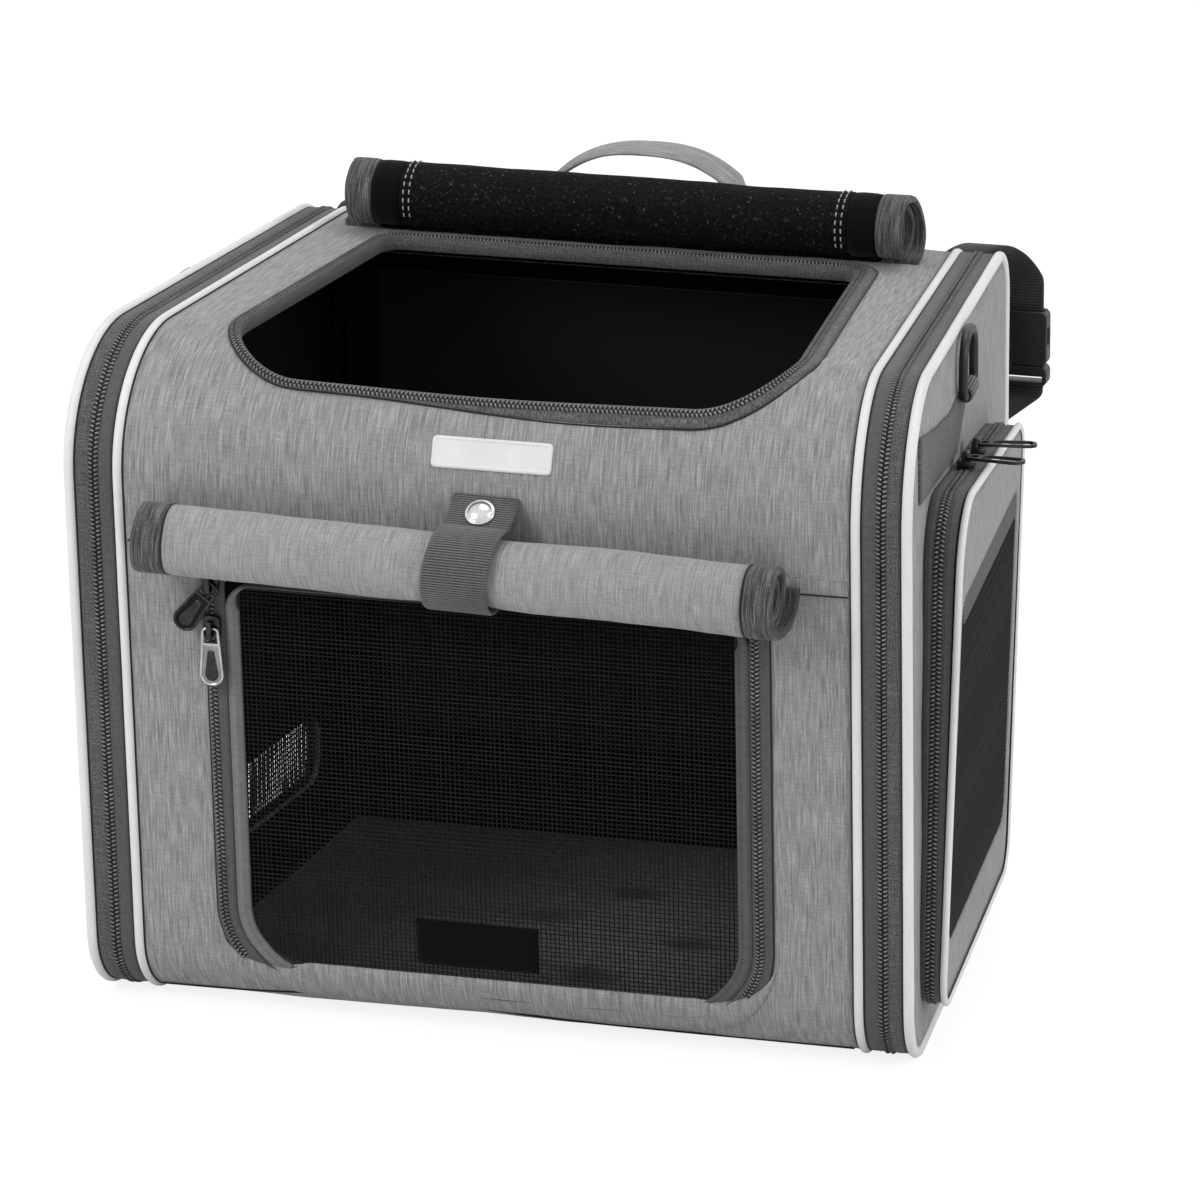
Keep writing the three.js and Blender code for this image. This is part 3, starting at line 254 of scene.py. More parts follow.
# Inside
MAT_HEIGHT = 12
MAT_CROWN = 5
MAT_SOFT_SIDE = 2.5
MAT_MARK_LENGTH = 13
MAT_MARK_WIDTH = 8
MAT_MARK_DEPTH = 3
MAT_MARKS = [(26, 19), (-6, -23), (68, -42), (32, -87)]
MAT_MARK_SHARE = 1.6
MAT_SHADE_SHARE = 0.3

# Looks, unevenness of cloth, stitches
CLOTH_MAP = "cloth"
PUFF_WAVE = 46
PUFF_RIPPLE = 17
PUFF_RIPPLE_SHARE = 0.28
SLACK_WAVE = 34
SLACK_RIPPLE = 11
SLACK_RIPPLE_SHARE = 0.25
THREAD_LENGTH = 3.2
THREAD_STEP = 4.6
THREAD_RADIUS = 0.3

SIDES = (("right", 1), ("left", -1))


def grey(value, tint=(1, 1, 1)):
    """An sRGB value from 0 to 255 as a linear colour"""
    share = [value * t / 255 for t in tint]
    linear = [c / 12.92 if c <= 0.04045 else ((c + 0.055) / 1.055) ** 2.4 for c in share]
    return (*linear, 1)


def add_node(tree, kind, inputs, **settings):
    """A node whose inputs are given as values or as the sockets that lead to them"""
    made = tree.nodes.new("ShaderNode" + kind)
    for key, value in settings.items():
        setattr(made, key, value)
    for key, value in inputs.items():
        if isinstance(value, bpy.types.NodeSocket):
            tree.links.new(value, made.inputs[key])
        else:
            made.inputs[key].default_value = value
    return made


class Look:
    """A node material, with short ways to the nodes that it needs"""

    def __init__(self, name, roughness, metallic=0.0, **sockets):
        self.material = bpy.data.materials.new(name)
        self.material.use_nodes = True
        self.tree = self.material.node_tree
        self.shader = self.tree.nodes["Principled BSDF"]
        self.shader.inputs["Roughness"].default_value = roughness
        self.shader.inputs["Metallic"].default_value = metallic
        for socket, value in sockets.items():
            self.shader.inputs[socket.replace("_", " ")].default_value = value

    def node(self, kind, inputs, **settings):
        return add_node(self.tree, kind, inputs, **settings)

    def cloth(self, across, along):
        """Coordinates on the cloth, with this many features to the metre each way"""
        place = self.node("UVMap", {}, uv_map=CLOTH_MAP).outputs[0]
        return self.node("Mapping", {"Vector": place, "Scale": (across, along, 1)}).outputs[0]

    def solid(self, scale):
        place = self.node("TexCoord", {}).outputs["Object"]
        return self.node("Mapping", {"Vector": place, "Scale": (scale, scale, scale)}).outputs[0]

    def noise(self, place, detail=2.0, roughness=0.5, distortion=0.0):
        inputs = {
            "Vector": place, "Scale": 1, "Detail": detail, "Roughness": roughness, "Distortion": distortion,
        }
        return self.node("TexNoise", inputs).outputs["Fac"]

    def wave(self, place, direction="X"):
        inputs = {"Vector": place, "Scale": 1.0, "Distortion": 0.0}
        return self.node("TexWave", inputs, bands_direction=direction).outputs["Fac"]

    def sums(self, *terms):
        total = 0.0
        for value, weight in terms:
            made = self.node("Math", {0: value, 1: weight, 2: total}, operation="MULTIPLY_ADD")
            total = made.outputs[0]
        return total

    def colours(self, value, stops):
        ramp = self.node("ValToRGB", {"Fac": value})
        elements = ramp.color_ramp.elements
        while len(elements) < len(stops):
            elements.new(1.0)
        for element, (position, colour) in zip(elements, stops):
            element.position = position
            element.color = colour
        self.tree.links.new(ramp.outputs["Color"], self.shader.inputs["Base Color"])

    def bump(self, value, distance, strength=1.0):
        made = self.node("Bump", {"Height": value, "Distance": distance, "Strength": strength})
        self.tree.links.new(made.outputs[0], self.shader.inputs["Normal"])

    def rough(self, value, low, high):
        self.tree.links.new(self.ranged(value, 0, 1, low, high), self.shader.inputs["Roughness"])

    def ranged(self, value, start, end, low, high):
        """A value from start to end, brought to the range from low to high"""
        inputs = {"Value": value, "From Min": start, "From Max": end, "To Min": low, "To Max": high}
        return self.node("MapRange", inputs).outputs[0]


def slub_cloth(name, dark, middle, light, warp=0.55, weft=0.16, grain=0.2, relief=0.0003):
    """Melange cloth: long thin slubs along the warp, a few across, and the grain of the weave"""
    look = Look(name, 0.9, Sheen_Weight=0.15, Sheen_Roughness=0.5, Specular_IOR_Level=0.25)
    yarns = look.noise(look.cloth(1250, 62), 3.0, 0.6, 0.1)
    long_slubs = look.noise(look.cloth(560, 90), 2.0, 0.5, 0.3)
    short_slubs = look.noise(look.cloth(110, 1150), 3.0, 0.6, 0.2)
    weave = look.noise(look.cloth(1500, 1500), 1.0)
    shade = look.noise(look.cloth(9, 9), 2.0)
    terms = ((yarns, warp), (long_slubs, warp / 4), (short_slubs, weft), (weave, grain), (shade, 0.05))
    centre = sum(weight for _, weight in terms) / 2
    stops = [(centre - 0.13, grey(dark)), (centre, grey(middle)), (centre + 0.13, grey(light))]
    value = look.sums(*terms)
    look.colours(value, stops)
    look.bump(value, relief)
    return look.material


def rib_cloth(name, dark, light, ribs, relief=0.0004):
    """Webbing or elastic, with this many ribs to the metre"""
    look = Look(name, 0.8, Sheen_Weight=0.2, Specular_IOR_Level=0.3)
    ribbing = look.wave(look.cloth(1, ribs / 3.2), "Y")
    yarn = look.noise(look.cloth(900, 1500), 3.0, 0.65)
    patchy = look.noise(look.cloth(250, 60), 2.0)
    value = look.sums((ribbing, 0.4), (yarn, 0.45), (patchy, 0.15))
    look.colours(value, [(0.32, grey(dark)), (0.68, grey(light))])
    look.bump(value, relief)
    return look.material


def tight_cloth(name, dark, light, threads, roughness=0.85, relief=0.00015, gloss=0.3):
    """Plain close cloth or tape"""
    look = Look(name, roughness, Sheen_Weight=gloss / 2, Specular_IOR_Level=gloss)
    across = look.wave(look.cloth(threads / 3.2, 1), "X")
    along = look.wave(look.cloth(1, threads / 3.2), "Y")
    uneven = look.noise(look.cloth(400, 400), 3.0, 0.6)
    value = look.sums((across, 0.2), (along, 0.2), (uneven, 0.6))
    look.colours(value, [(0.3, grey(dark)), (0.7, grey(light))])
    look.bump(value, relief)
    return look.material


def tape_cloth(name, low, high):
    """Reflective tape of fine beads with faint scuffs"""
    look = Look(name, 0.45, Sheen_Weight=0.1, Specular_IOR_Level=0.5)
    beads = look.noise(look.cloth(2600, 2600), 1.0)
    scuffs = look.noise(look.cloth(60, 12), 4.0, 0.7)
    value = look.sums((beads, 0.35), (scuffs, 0.65))
    look.colours(value, [(0.3, grey(low)), (0.62, grey(high))])
    look.rough(scuffs, 0.32, 0.6)
    look.bump(beads, 0.00008)
    return look.material


def fleece(name, marks):
    """Fleece with painted shade that darkens it towards the left, with soft dark marks pressed into it"""
    look = Look(name, 1.0, Sheen_Weight=0.3, Sheen_Roughness=0.6, Specular_IOR_Level=0.05)
    fibres = look.noise(look.solid(900), 4.0, 0.7, 0.6)
    tufts = look.noise(look.solid(160), 3.0, 0.6)
    place = look.node("TexCoord", {}).outputs["Object"]
    along = look.node("SeparateXYZ", {"Vector": place}).outputs["X"]
    # The X term is painted shade: it darkens the fleece towards the left, where the mat lies in shadow
    terms = [(fibres, 0.6), (tufts, 0.4), (look.ranged(along, -90 * MM, 40 * MM, -MAT_SHADE_SHARE, 0), 1)]
    flat = look.node("Mapping", {"Vector": place, "Scale": (1, MAT_MARK_SHARE, 0)}).outputs[0]
    for x, y in marks:
        middle = (x * MM, MAT_MARK_SHARE * y * MM, 0)
        away = look.node("VectorMath", {0: flat, 1: middle}, operation="DISTANCE").outputs["Value"]
        terms.append((look.ranged(away, 5 * MM, 17 * MM, -MAT_SHADE_SHARE, 0), 1))
    value = look.sums(*terms)
    look.colours(value, [(0.0, grey(12)), (0.35, grey(58)), (0.65, grey(116))])
    look.bump(value, 0.0012)
    return look.material


def pebbled(name, dark, light, painted_glint):
    """Soft black mesh with painted glints where its loops would catch the light here and there"""
    look = Look(name, 0.85, Specular_IOR_Level=0.12)
    loops = look.noise(look.solid(620), 1.0, 0.4)
    tufts = look.noise(look.solid(1500), 2.0, 0.6)
    value = look.sums((loops, 0.6), (tufts, 0.4))
    look.colours(value, [(0.4, grey(dark)), (0.62, grey(light)), (0.72, grey(painted_glint))])
    look.bump(value, 0.0014)
    return look.material


def metal(name, dark, light, roughness, scratch=0.15):
    look = Look(name, roughness, 1.0)
    wear = look.noise(look.solid(140), 4.0, 0.6)
    brush = look.noise(look.solid(900), 2.0)
    look.colours(look.sums((wear, 0.7), (brush, 0.3)), [(0.3, grey(dark)), (0.7, grey(light))])
    look.rough(wear, roughness - scratch / 2, roughness + scratch)
    look.bump(brush, 0.00003)
    return look.material


def moulded(name, dark, light, roughness):
    look = Look(name, roughness, Specular_IOR_Level=0.5)
    grains = look.noise(look.solid(1400), 2.0)
    haze = look.noise(look.solid(60), 3.0)
    look.colours(look.sums((grains, 0.4), (haze, 0.6)), [(0.3, grey(dark)), (0.7, grey(light))])
    look.rough(haze, roughness - 0.08, roughness + 0.12)
    look.bump(grains, 0.00006)
    return look.material


HEATHER = slub_cloth("heather", 118, 150, 180)
ROLL_HEATHER = slub_cloth("roll_heather", 124, 156, 186, warp=0.4)
DARK_SLUB = slub_cloth("dark_slub", 40, 80, 132, warp=0.6, weft=0.1, grain=0.2, relief=0.0008)
RIBBED = rib_cloth("ribbed_webbing", 44, 116, 820, 0.0005)
BLACK_WEBBING = rib_cloth("black_webbing", 16, 58, 700)
SMOOTH_TAPE = tight_cloth("smooth_tape", 72, 96, 900, 0.7)
# A lighter copy of the smooth tape: painted light for the door binding's side that faces the key lamp
PAINTED_LIGHT_TAPE = tight_cloth("painted_light_tape", 104, 128, 900, 0.7)
GRAINED_TAPE = slub_cloth("grained_tape", 58, 88, 122, warp=0.2, weft=0.25, grain=0.5)
REFLECTIVE = tape_cloth("reflective", 220, 243)
# Dark thread for seams and stitches, also used as painted shade in dark lines along grooves and edges
SEAM = tight_cloth("seam_and_shade_thread", 14, 34, 700)
WHITE_THREAD = tight_cloth("pale_thread", 150, 205, 700)
LINING = tight_cloth("lining", 8, 22, 500, 0.95, gloss=0.06)
NET = tight_cloth("net_thread", 20, 38, 500, 0.9, gloss=0.1)
BLACK_CLOTH = tight_cloth("black_cloth", 12, 34, 420, 0.9, 0.0004)
PATCH_CLOTH = tight_cloth("patch_cloth", 8, 14, 1500, 0.9, 0.00005, 0.08)
SIDE_MESH = tight_cloth("side_mesh", 22, 44, 1200, 0.85, gloss=0.15)
PEBBLED = pebbled("pebbled_mesh", 4, 22, 96)
COIL = moulded("zip_teeth", 92, 158, 0.4)
# Painted shade for the gaps between zip teeth
COIL_SHADE = moulded("zip_gap_painted_shade", 18, 34, 0.7)
MAT = fleece("fleece", MAT_MARKS)
GUNMETAL = metal("gunmetal", 44, 78, 0.26)
DARK_METAL = metal("dark_metal", 22, 44, 0.2)
BRIGHT_METAL = metal("bright_rim", 165, 215, 0.2)
BRUSHED = metal("brushed_metal", 120, 165, 0.3)
NICKEL = metal("nickel", 190, 225, 0.2)
PLASTIC = moulded("black_plastic", 14, 26, 0.38)
PLATE = moulded("white_plate", 226, 238, 0.4)
BOARD_COVER = tight_cloth("board_cover", 16, 38, 420, 0.95)


# Mesh making
def placed(name, data):
    """An object in the scene that holds a mesh, a lamp or the camera"""
    made = bpy.data.objects.new(name, data)
    bpy.context.scene.collection.objects.link(made)
    return made


def make(name, verts, faces, uvs, looks, face_looks=None, smooth=True):
    """A closed mesh from points in millimetres, with a place on the cloth for each face corner"""
    mesh = bpy.data.meshes.new(name)
    mesh.from_pydata((np.asarray(verts, float) * MM).tolist(), [], [list(map(int, f)) for f in faces])
    corners = np.asarray(uvs, float)
    if len(corners) == len(verts):
        order = np.zeros(len(mesh.loops), int)
        mesh.loops.foreach_get("vertex_index", order)
        corners = corners[order]
    layer = mesh.uv_layers.new(name=CLOTH_MAP)
    layer.data.foreach_set("uv", (corners * MM).ravel())
    for look in looks:
        mesh.materials.append(look)
    if face_looks is not None:
        mesh.polygons.foreach_set("material_index", np.asarray(face_looks, int))
    mesh.polygons.foreach_set("use_smooth", [smooth] * len(mesh.polygons))
    shell = bmesh.new()
    shell.from_mesh(mesh)
    bmesh.ops.recalc_face_normals(shell, faces=shell.faces)
    shell.to_mesh(mesh)
    shell.free()
    return placed(name, mesh)


def settle(piece, body, slot, *nodes):
    """Gives a piece its body and the nodes that it stands for; its finish (slot) is not used"""
    if nodes:
        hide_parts(*nodes)
    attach(piece, body)


def unit(v):
    return v / np.linalg.norm(v, axis=-1, keepdims=True)


def joined(*parts):
    """Points from their coordinates, each a number or a value for every point"""
    return np.stack(np.broadcast_arrays(*parts), -1).astype(float)


def towards(direction, points):
    """The same direction for every one of these points"""
    return np.tile(np.asarray(direction, float), (len(points), 1))


def repeated(section, stations):
    return np.tile(section, (len(stations), 1, 1))


def ladder(first, size, rows):
    """Faces between rings of points that follow each other"""
    return [(at + k, at + (k + 1) % size, at + size + (k + 1) % size, at + size + k)
            for at in range(first, first + rows * size, size) for k in range(size)]


def box_corners(low, high, foot, top, foot_radius, top_radius, from_top=False):
    """Corners of a rectangle with their radii"""
    corners = [
        (low, foot, foot_radius), (high, foot, foot_radius), (high, top, top_radius), (low, top, top_radius),
    ]
    return corners[-1:] + corners[:-1] if from_top else corners


def rounded(corners, steps=ARC_STEPS):
    """Points and outward normals round an outline whose corners are (a, b, radius)"""
    places = np.array([corner[:2] for corner in corners], float)
    stations = []
    for i, (_, _, radius) in enumerate(corners):
        back = unit(places[i - 1] - places[i])
        ahead = unit(places[(i + 1) % len(corners)] - places[i])
        half = math.acos(np.clip(back @ ahead, -1, 1)) / 2
        centre = places[i] + unit(back + ahead) * radius / math.sin(half)
        reach = radius / math.tan(half)
        first = unit(places[i] + back * reach - centre)
        last = unit(places[i] + ahead * reach - centre)
        turn = math.atan2(first[0] * last[1] - first[1] * last[0], first @ last)
        start = math.atan2(first[1], first[0])
        for k in range(steps + 1):
            angle = start + turn * k / steps
            normal = np.array([math.cos(angle), math.sin(angle)])
            stations.append((centre + normal * radius, normal))
    return stations


class Track:
    """A line in a plane, with outward normals, that is followed by its length"""

    def __init__(self, stations, closed=True):
        if closed:
            stations = [*stations, stations[0]]
        self.points = np.array([point for point, _ in stations])
        self.normals = np.array([normal for _, normal in stations])
        steps = np.linalg.norm(np.diff(self.points, axis=0), axis=1)
        self.length_at = np.concatenate([[0], np.cumsum(steps)])
        self.length = self.length_at[-1]
        self.closed = closed

    def at(self, s, inset=0.0):
        s = np.asarray(s, float)
        if self.closed:
            s = s % self.length
        point = np.stack([np.interp(s, self.length_at, self.points[:, i]) for i in (0, 1)], -1)
        normal = unit(np.stack([np.interp(s, self.length_at, self.normals[:, i]) for i in (0, 1)], -1))
        return point - normal * np.asarray(inset, float)[..., None], normal

    def steps(self, pitch):
        count = max(int(round(self.length / pitch)), 3)
        return np.linspace(0, self.length, count + (not self.closed), endpoint=not self.closed)

    def outline(self, pitch, inset=0.0):
        return self.at(self.steps(pitch), inset)[0]


def draw_in(y):
    return 1 - REAR_DRAW_IN / (WIDTH / 2) * (y + DEPTH / 2) / DEPTH


profile = Track(rounded([
    (-DEPTH / 2 + FRONT_LEAN, BASE, FOOT_RADIUS),
    (-DEPTH / 2, FRONT_HEIGHT, SHOULDER_RADIUS),
    (DEPTH / 2, REAR_HEIGHT, REAR_TOP_RADIUS),
    (DEPTH / 2, BASE, REAR_FOOT_RADIUS),
]))
lean = math.atan(FRONT_LEAN / (FRONT_HEIGHT - BASE))
front_foot = np.array([-DEPTH / 2 + FRONT_LEAN, BASE])
front_up = np.array([-math.sin(lean), math.cos(lean)])
front_out = np.array([-math.cos(lean), -math.sin(lean)])
corner_at = profile.length_at[:-1].reshape(4, ARC_STEPS + 1)
foot_from, shoulder_from, rear_top_from, rear_foot_from = corner_at[:, 0]
foot_to, shoulder_to, rear_top_to, rear_foot_to = corner_at[:, -1]

INNER_AT = WIDTH / 2 - BAND
OUTER_AT = WIDTH / 2 - OUTER_PIPING / 2
CENTRE_HALF = INNER_AT - INNER_PIPING / 2 - GAP
BAND_FROM = INNER_AT + INNER_PIPING / 2 + GAP
BAND_TO = OUTER_AT - OUTER_PIPING / 2 - GAP
CHAIN_AT = (BAND_FROM + BAND_TO) / 2
SIDE_FACE = WIDTH / 2 - SIDE_RECESS


def up_front(height):
    return (height - BASE) / math.cos(lean)


def shell_surface(uv):
    """Points and normals on the wrap-around cloth, where v is the length along the profile"""
    point, normal = profile.at(uv[:, 1])
    return joined(uv[:, 0] * draw_in(point[:, 0]), *point.T), joined(0, *normal.T)


front_run = slice(0, ARC_STEPS + 2)
front_rise = (profile.points[front_run] - front_foot) @ front_up
roof_run = slice(ARC_STEPS + 1, 3 * (ARC_STEPS + 1))


def front_length(v):
    return np.interp(v, front_rise, profile.length_at[front_run])


def roof_length(y):
    return np.interp(y, profile.points[roof_run, 0], profile.length_at[roof_run])


def front_surface(uv):
    """v is measured up the leaning front"""
    return shell_surface(joined(uv[:, 0], front_length(uv[:, 1])))


def roof_surface(uv):
    """v is the place along the depth"""
    return shell_surface(joined(uv[:, 0], roof_length(uv[:, 1])))


def side_surface(sign, lift=0.0):
    """u is the place along the depth and v the height"""
    def surface(uv):
        out = SIDE_FACE + (lift(uv[:, 1]) if callable(lift) else lift)
        normal = unit(np.array([sign, REAR_DRAW_IN / DEPTH, 0.0]))
        return joined(sign * out * draw_in(uv[:, 0]), *uv.T), towards(normal, uv)
    return surface


def waves(points, seed, length, height):
    """Soft unevenness of cloth"""
    shift = Vector((seed * 3.7, seed * 1.3, seed * 7.1))
    return np.array([noise.noise(Vector(point) / length + shift) for point in points]) * height


def within(points, polygon):
    ahead = np.roll(polygon, -1, axis=0)
    inside = np.zeros(len(points), bool)
    for (ax, ay), (bx, by) in zip(polygon, ahead):
        if ay == by:
            continue
        crosses = (ay > points[:, 1]) != (by > points[:, 1])
        at = (bx - ax) * (points[:, 1] - ay) / (by - ay) + ax
        inside ^= crosses & (points[:, 0] < at)
    return inside


def edge_distance(points, polygons):
    least = np.full(len(points), np.inf)
    for polygon in polygons:
        for a, b in zip(polygon, np.roll(polygon, -1, axis=0)):
            along = b - a
            share = np.clip(((points - a) @ along) / max(along @ along, 1e-9), 0, 1)
            least = np.minimum(least, np.linalg.norm(points - a - share[:, None] * along, axis=1))
    return least


def box_outline(low, high, foot, top, pitch):
    """A plain rectangle with points along its edges"""
    corners = np.array([(low, foot), (high, foot), (high, top), (low, top)], float)
    points = []
    for a, b in zip(corners, np.roll(corners, -1, axis=0)):
        count = max(int(np.linalg.norm(b - a) / pitch), 1)
        points += [a + (b - a) * i / count for i in range(count)]
    return np.array(points)


def panel(name, surface, outline, holes, pitch, thickness, looks, relief=None, lift=0.0, soft_edge=0.0):
    """A sheet of cloth on a surface, with its thickness, cut to an outline and holes"""
    polygons = [outline, *holes]
    low, high = outline.min(0), outline.max(0)
    counts = np.maximum(((high - low) / pitch).astype(int), 1)
    grid = np.stack(np.meshgrid(*[np.linspace(low[i], high[i], counts[i] + 1) for i in (0, 1)]), -1)
    grid = grid.reshape(-1, 2)
    keep = within(grid, outline)
    for hole in holes:
        keep &= ~within(grid, hole)
    grid = grid[keep]
    grid = grid[edge_distance(grid, polygons) > 0.55 * pitch]
    points = np.concatenate([*polygons, grid])
    edges = []
    start = 0
    for polygon in polygons:
        count = len(polygon)
        edges += [(start + i, start + (i + 1) % count) for i in range(count)]
        start += count
    found = delaunay_2d_cdt([Vector(p) for p in points], edges, [], 0, 1e-5)
    places = np.array([tuple(v) for v in found[0]])
    triangles = np.array([face for face in found[2] if len(face) == 3])
    centres = places[triangles].mean(1)
    keep = within(centres, outline)
    for hole in holes:
        keep &= ~within(centres, hole)
    triangles = triangles[keep]
    base, normal = surface(places)
    distance = edge_distance(places, polygons)
    out = np.full(len(places), float(lift))
    if relief is not None:
        out = out + relief(places, distance, base)
    if soft_edge:
        out = out - soft_edge * np.exp(-distance / soft_edge / 1.2)
    outer = base + normal * out[:, None]
    inner = base + normal * (lift - thickness + 0.25 * (out - lift))[:, None]
    size = len(places)
    verts = np.concatenate([outer, inner])
    border = {}
    for a, b, c in triangles:
        for edge in ((a, b), (b, c), (c, a)):
            border[frozenset(edge)] = edge if frozenset(edge) not in border else None
    rim = [edge for edge in border.values() if edge]
    faces = [*triangles.tolist(), *[(size + c, size + b, size + a) for a, b, c in triangles]]
    faces += [(a, size + a, size + b, b) for a, b in rim]
    face_looks = [0] * len(triangles) + [len(looks) - 1] * len(triangles) + [0] * len(rim)
    uvs = np.concatenate([places, places])
    return make(name, verts, faces, uvs, looks, face_looks)


def sweep(name, looks, sections, origin, across, out, closed=False, face_looks=0, smooth=True, turned=False):
    """Carries a closed section of (across, out[, along]) points along frames, with a cap at each end.
    The cloth's warp follows the frames, or goes round the section where it's turned."""
    count = len(origin)
    sections = np.asarray(sections, float)
    if sections.ndim == 2:
        sections = np.tile(sections, (count, 1, 1))
    size = sections.shape[1]
    points = origin[:, None] + sections[..., :1] * across[:, None] + sections[..., 1:2] * out[:, None]
    if sections.shape[2] > 2:
        tangent = unit(np.gradient(origin, axis=0))
        points = points + sections[..., 2:] * tangent[:, None]
    verts = points.reshape(-1, 3)
    rows = np.arange(count if closed else count - 1)
    columns = np.arange(size)
    i, j = (grid.ravel() for grid in np.meshgrid(rows, columns, indexing="ij"))
    i1, j1 = (i + 1) % count, (j + 1) % size
    quads = np.stack([i * size + j, i * size + j1, i1 * size + j1, i1 * size + j], 1)
    lap = np.linalg.norm(np.diff(sections[0][[*columns, 0]], axis=0), axis=1)
    u = np.concatenate([[0], np.cumsum(lap)])
    steps = np.linalg.norm(np.roll(origin, -1, axis=0) - origin, axis=1)
    v = np.concatenate([[0], np.cumsum(steps)])
    uvs = np.stack([
        np.stack([u[j], v[i]], -1), np.stack([u[j + 1], v[i]], -1),
        np.stack([u[j + 1], v[i + 1]], -1), np.stack([u[j], v[i + 1]], -1),
    ], 1).reshape(-1, 2)
    faces = quads.tolist()
    marks = np.broadcast_to(face_looks, (count, size))[i, j].tolist()
    if not closed:
        faces += [list(range(size)), [(count - 1) * size + k for k in columns]]
        ends = np.stack([u[:-1], np.zeros(size)], -1)
        uvs = np.concatenate([uvs, ends, ends])
        marks += [0, 0]
    if turned:
        uvs = uvs[:, ::-1]
    return make(name, verts, faces, uvs, looks, marks, smooth)


def round_section(radius, sides=12, across=0.0, out=0.0, flat=1.0):
    angles = np.arange(sides) * 2 * math.pi / sides
    return np.stack([across + radius * np.cos(angles), out + flat * radius * np.sin(angles)], -1)


def strap_section(width, thickness, edge=0.35):
    """A flat band with rounded edges"""
    half, rise = width / 2, thickness / 2
    slope = min(edge * thickness * 2, half / 2)
    return np.array([
        (-half, -rise * 0.3), (-half + slope, -rise), (0, -rise), (half - slope, -rise), (half, -rise * 0.3),
        (half, rise * 0.3), (half - slope, rise), (0, rise), (-half + slope, rise), (-half, rise * 0.3),
    ])


def profile_frames(across, sign, s):
    point, normal = profile.at(s)
    origin = joined(sign * across * draw_in(point[:, 0]), *point.T)
    return origin, towards([sign, 0, 0], s), joined(0, *normal.T)


def frames_on(surface, track, s, inset=0.0, lift=0.0):
    """Frames that follow a track on a surface: across points inwards, out leaves the surface"""
    edge, _ = surface(track.at(s)[0])
    ahead, _ = surface(track.at(s, 1.0)[0])
    inset = inset / np.linalg.norm(ahead - edge, axis=1)
    here, out = surface(track.at(s, inset)[0])
    there, _ = surface(track.at(s, inset + 1)[0])
    across = there - here
    across = unit(across - out * (across * out).sum(-1, keepdims=True))
    return here + out * np.asarray(lift, float)[..., None], across, out


def band(name, looks, section, frames, body, *nodes, slot="trim_webbing", **options):
    """A swept piece with its body; its finish (slot) is passed on but not used"""
    settle(sweep(name, looks, section, *frames, **options), body, slot, *nodes)


def seam(name, frames, body="root", closed=False):
    """A dark thread line: a sewn seam, also used as painted shade along grooves and edges"""
    band(name, [SEAM], round_section(SEAM_THREAD, 6), frames, body, closed=closed)


def heather(name, surface, outline, pitch, thickness, body, *nodes, relief=None, holes=(), lift=0.0):
    """A sheet of heather cloth with a dark inside"""
    cloth = panel(name, surface, outline, holes, pitch, thickness, [HEATHER, LINING], relief, lift)
    settle(cloth, body, "heather_fabric", *nodes)


def coil(name, place, length, half_width, rise, bodies=("root", "root"), gap=0.25, closed=True):
    """Two rows of zip teeth: place(n) gives frames at n stations, with across over the chain"""
    stations = 3 * int(length / TOOTH_PITCH)
    frames = place(stations)
    step = np.arange(stations) % 3
    heights = np.where(step < 2, 1.0, 0.25)
    # Faces that fall into each gap between teeth and rise out of it take COIL_SHADE: painted shade in the
    # gaps
    marks = np.tile((step > 0).astype(int)[:, None], (1, 5))
    for row, sign, body in zip("ab", (-1, 1), bodies):
        near, far = sign * gap, sign * half_width
        middle = (near + far) / 2
        shape = np.array([
            (near, -0.4, 0), (near, 0.6, 0), (middle, 1, 0.1), (far, 0.5, 0.25), (far, -0.4, 0.25),
        ])
        sections = np.tile(shape, (stations, 1, 1))
        risen = shape[:, 1] * rise
        sections[:, :, 1] = np.where(shape[:, 1] > 0, risen * heights[:, None], risen)
        sections[:, :, 2] = (sections[:, :, 2] + (row == "b") / 2) * TOOTH_PITCH
        band(f"{name}_{row}", [COIL, COIL_SHADE], sections, frames, body, closed=closed, face_looks=marks)


def stitches(
    name, points, outs, body="root", look=SEAM, length=THREAD_LENGTH, step=THREAD_STEP, radius=THREAD_RADIUS,
):
    """A row of separate stitches along points, each a short thread that dips at both ends"""
    points, outs = np.asarray(points, float), np.asarray(outs, float)
    run = np.concatenate([[0], np.cumsum(np.linalg.norm(np.diff(points, axis=0), axis=1))])
    count = int(run[-1] // step)
    starts = (run[-1] - count * step) / 2 + step * np.arange(count) + (step - length) / 2
    shares = np.array([0, 0.12, 0.5, 0.88, 1])
    rises = np.array([-0.6, 0.5, 0.9, 0.5, -0.6]) * radius
    s = starts[:, None] + shares * length
    at = np.stack([np.interp(s, run, points[:, i]) for i in range(3)], -1)
    out = unit(np.stack([np.interp(s, run, outs[:, i]) for i in range(3)], -1))
    along = unit(at[:, -1:] - at[:, :1]) + 0 * at
    side = unit(np.cross(along, out))
    across, up = round_section(radius, 5).T[:, :, None]
    ring = side[:, :, None] * across + out[:, :, None] * up
    verts = (at + out * rises[:, None])[:, :, None] + ring
    size = len(shares) * 5
    faces = [[n * size + i for i in face] for n in range(count) for face in ladder(0, 5, len(shares) - 1)]
    caps = [[n * size + i for i in ends] for n in range(count) for ends in (range(5), range(size - 5, size))]
    verts = verts.reshape(-1, 3)
    settle(make(name, verts, faces + caps, verts[:, [0, 2]], [look]), body, "trim_webbing")


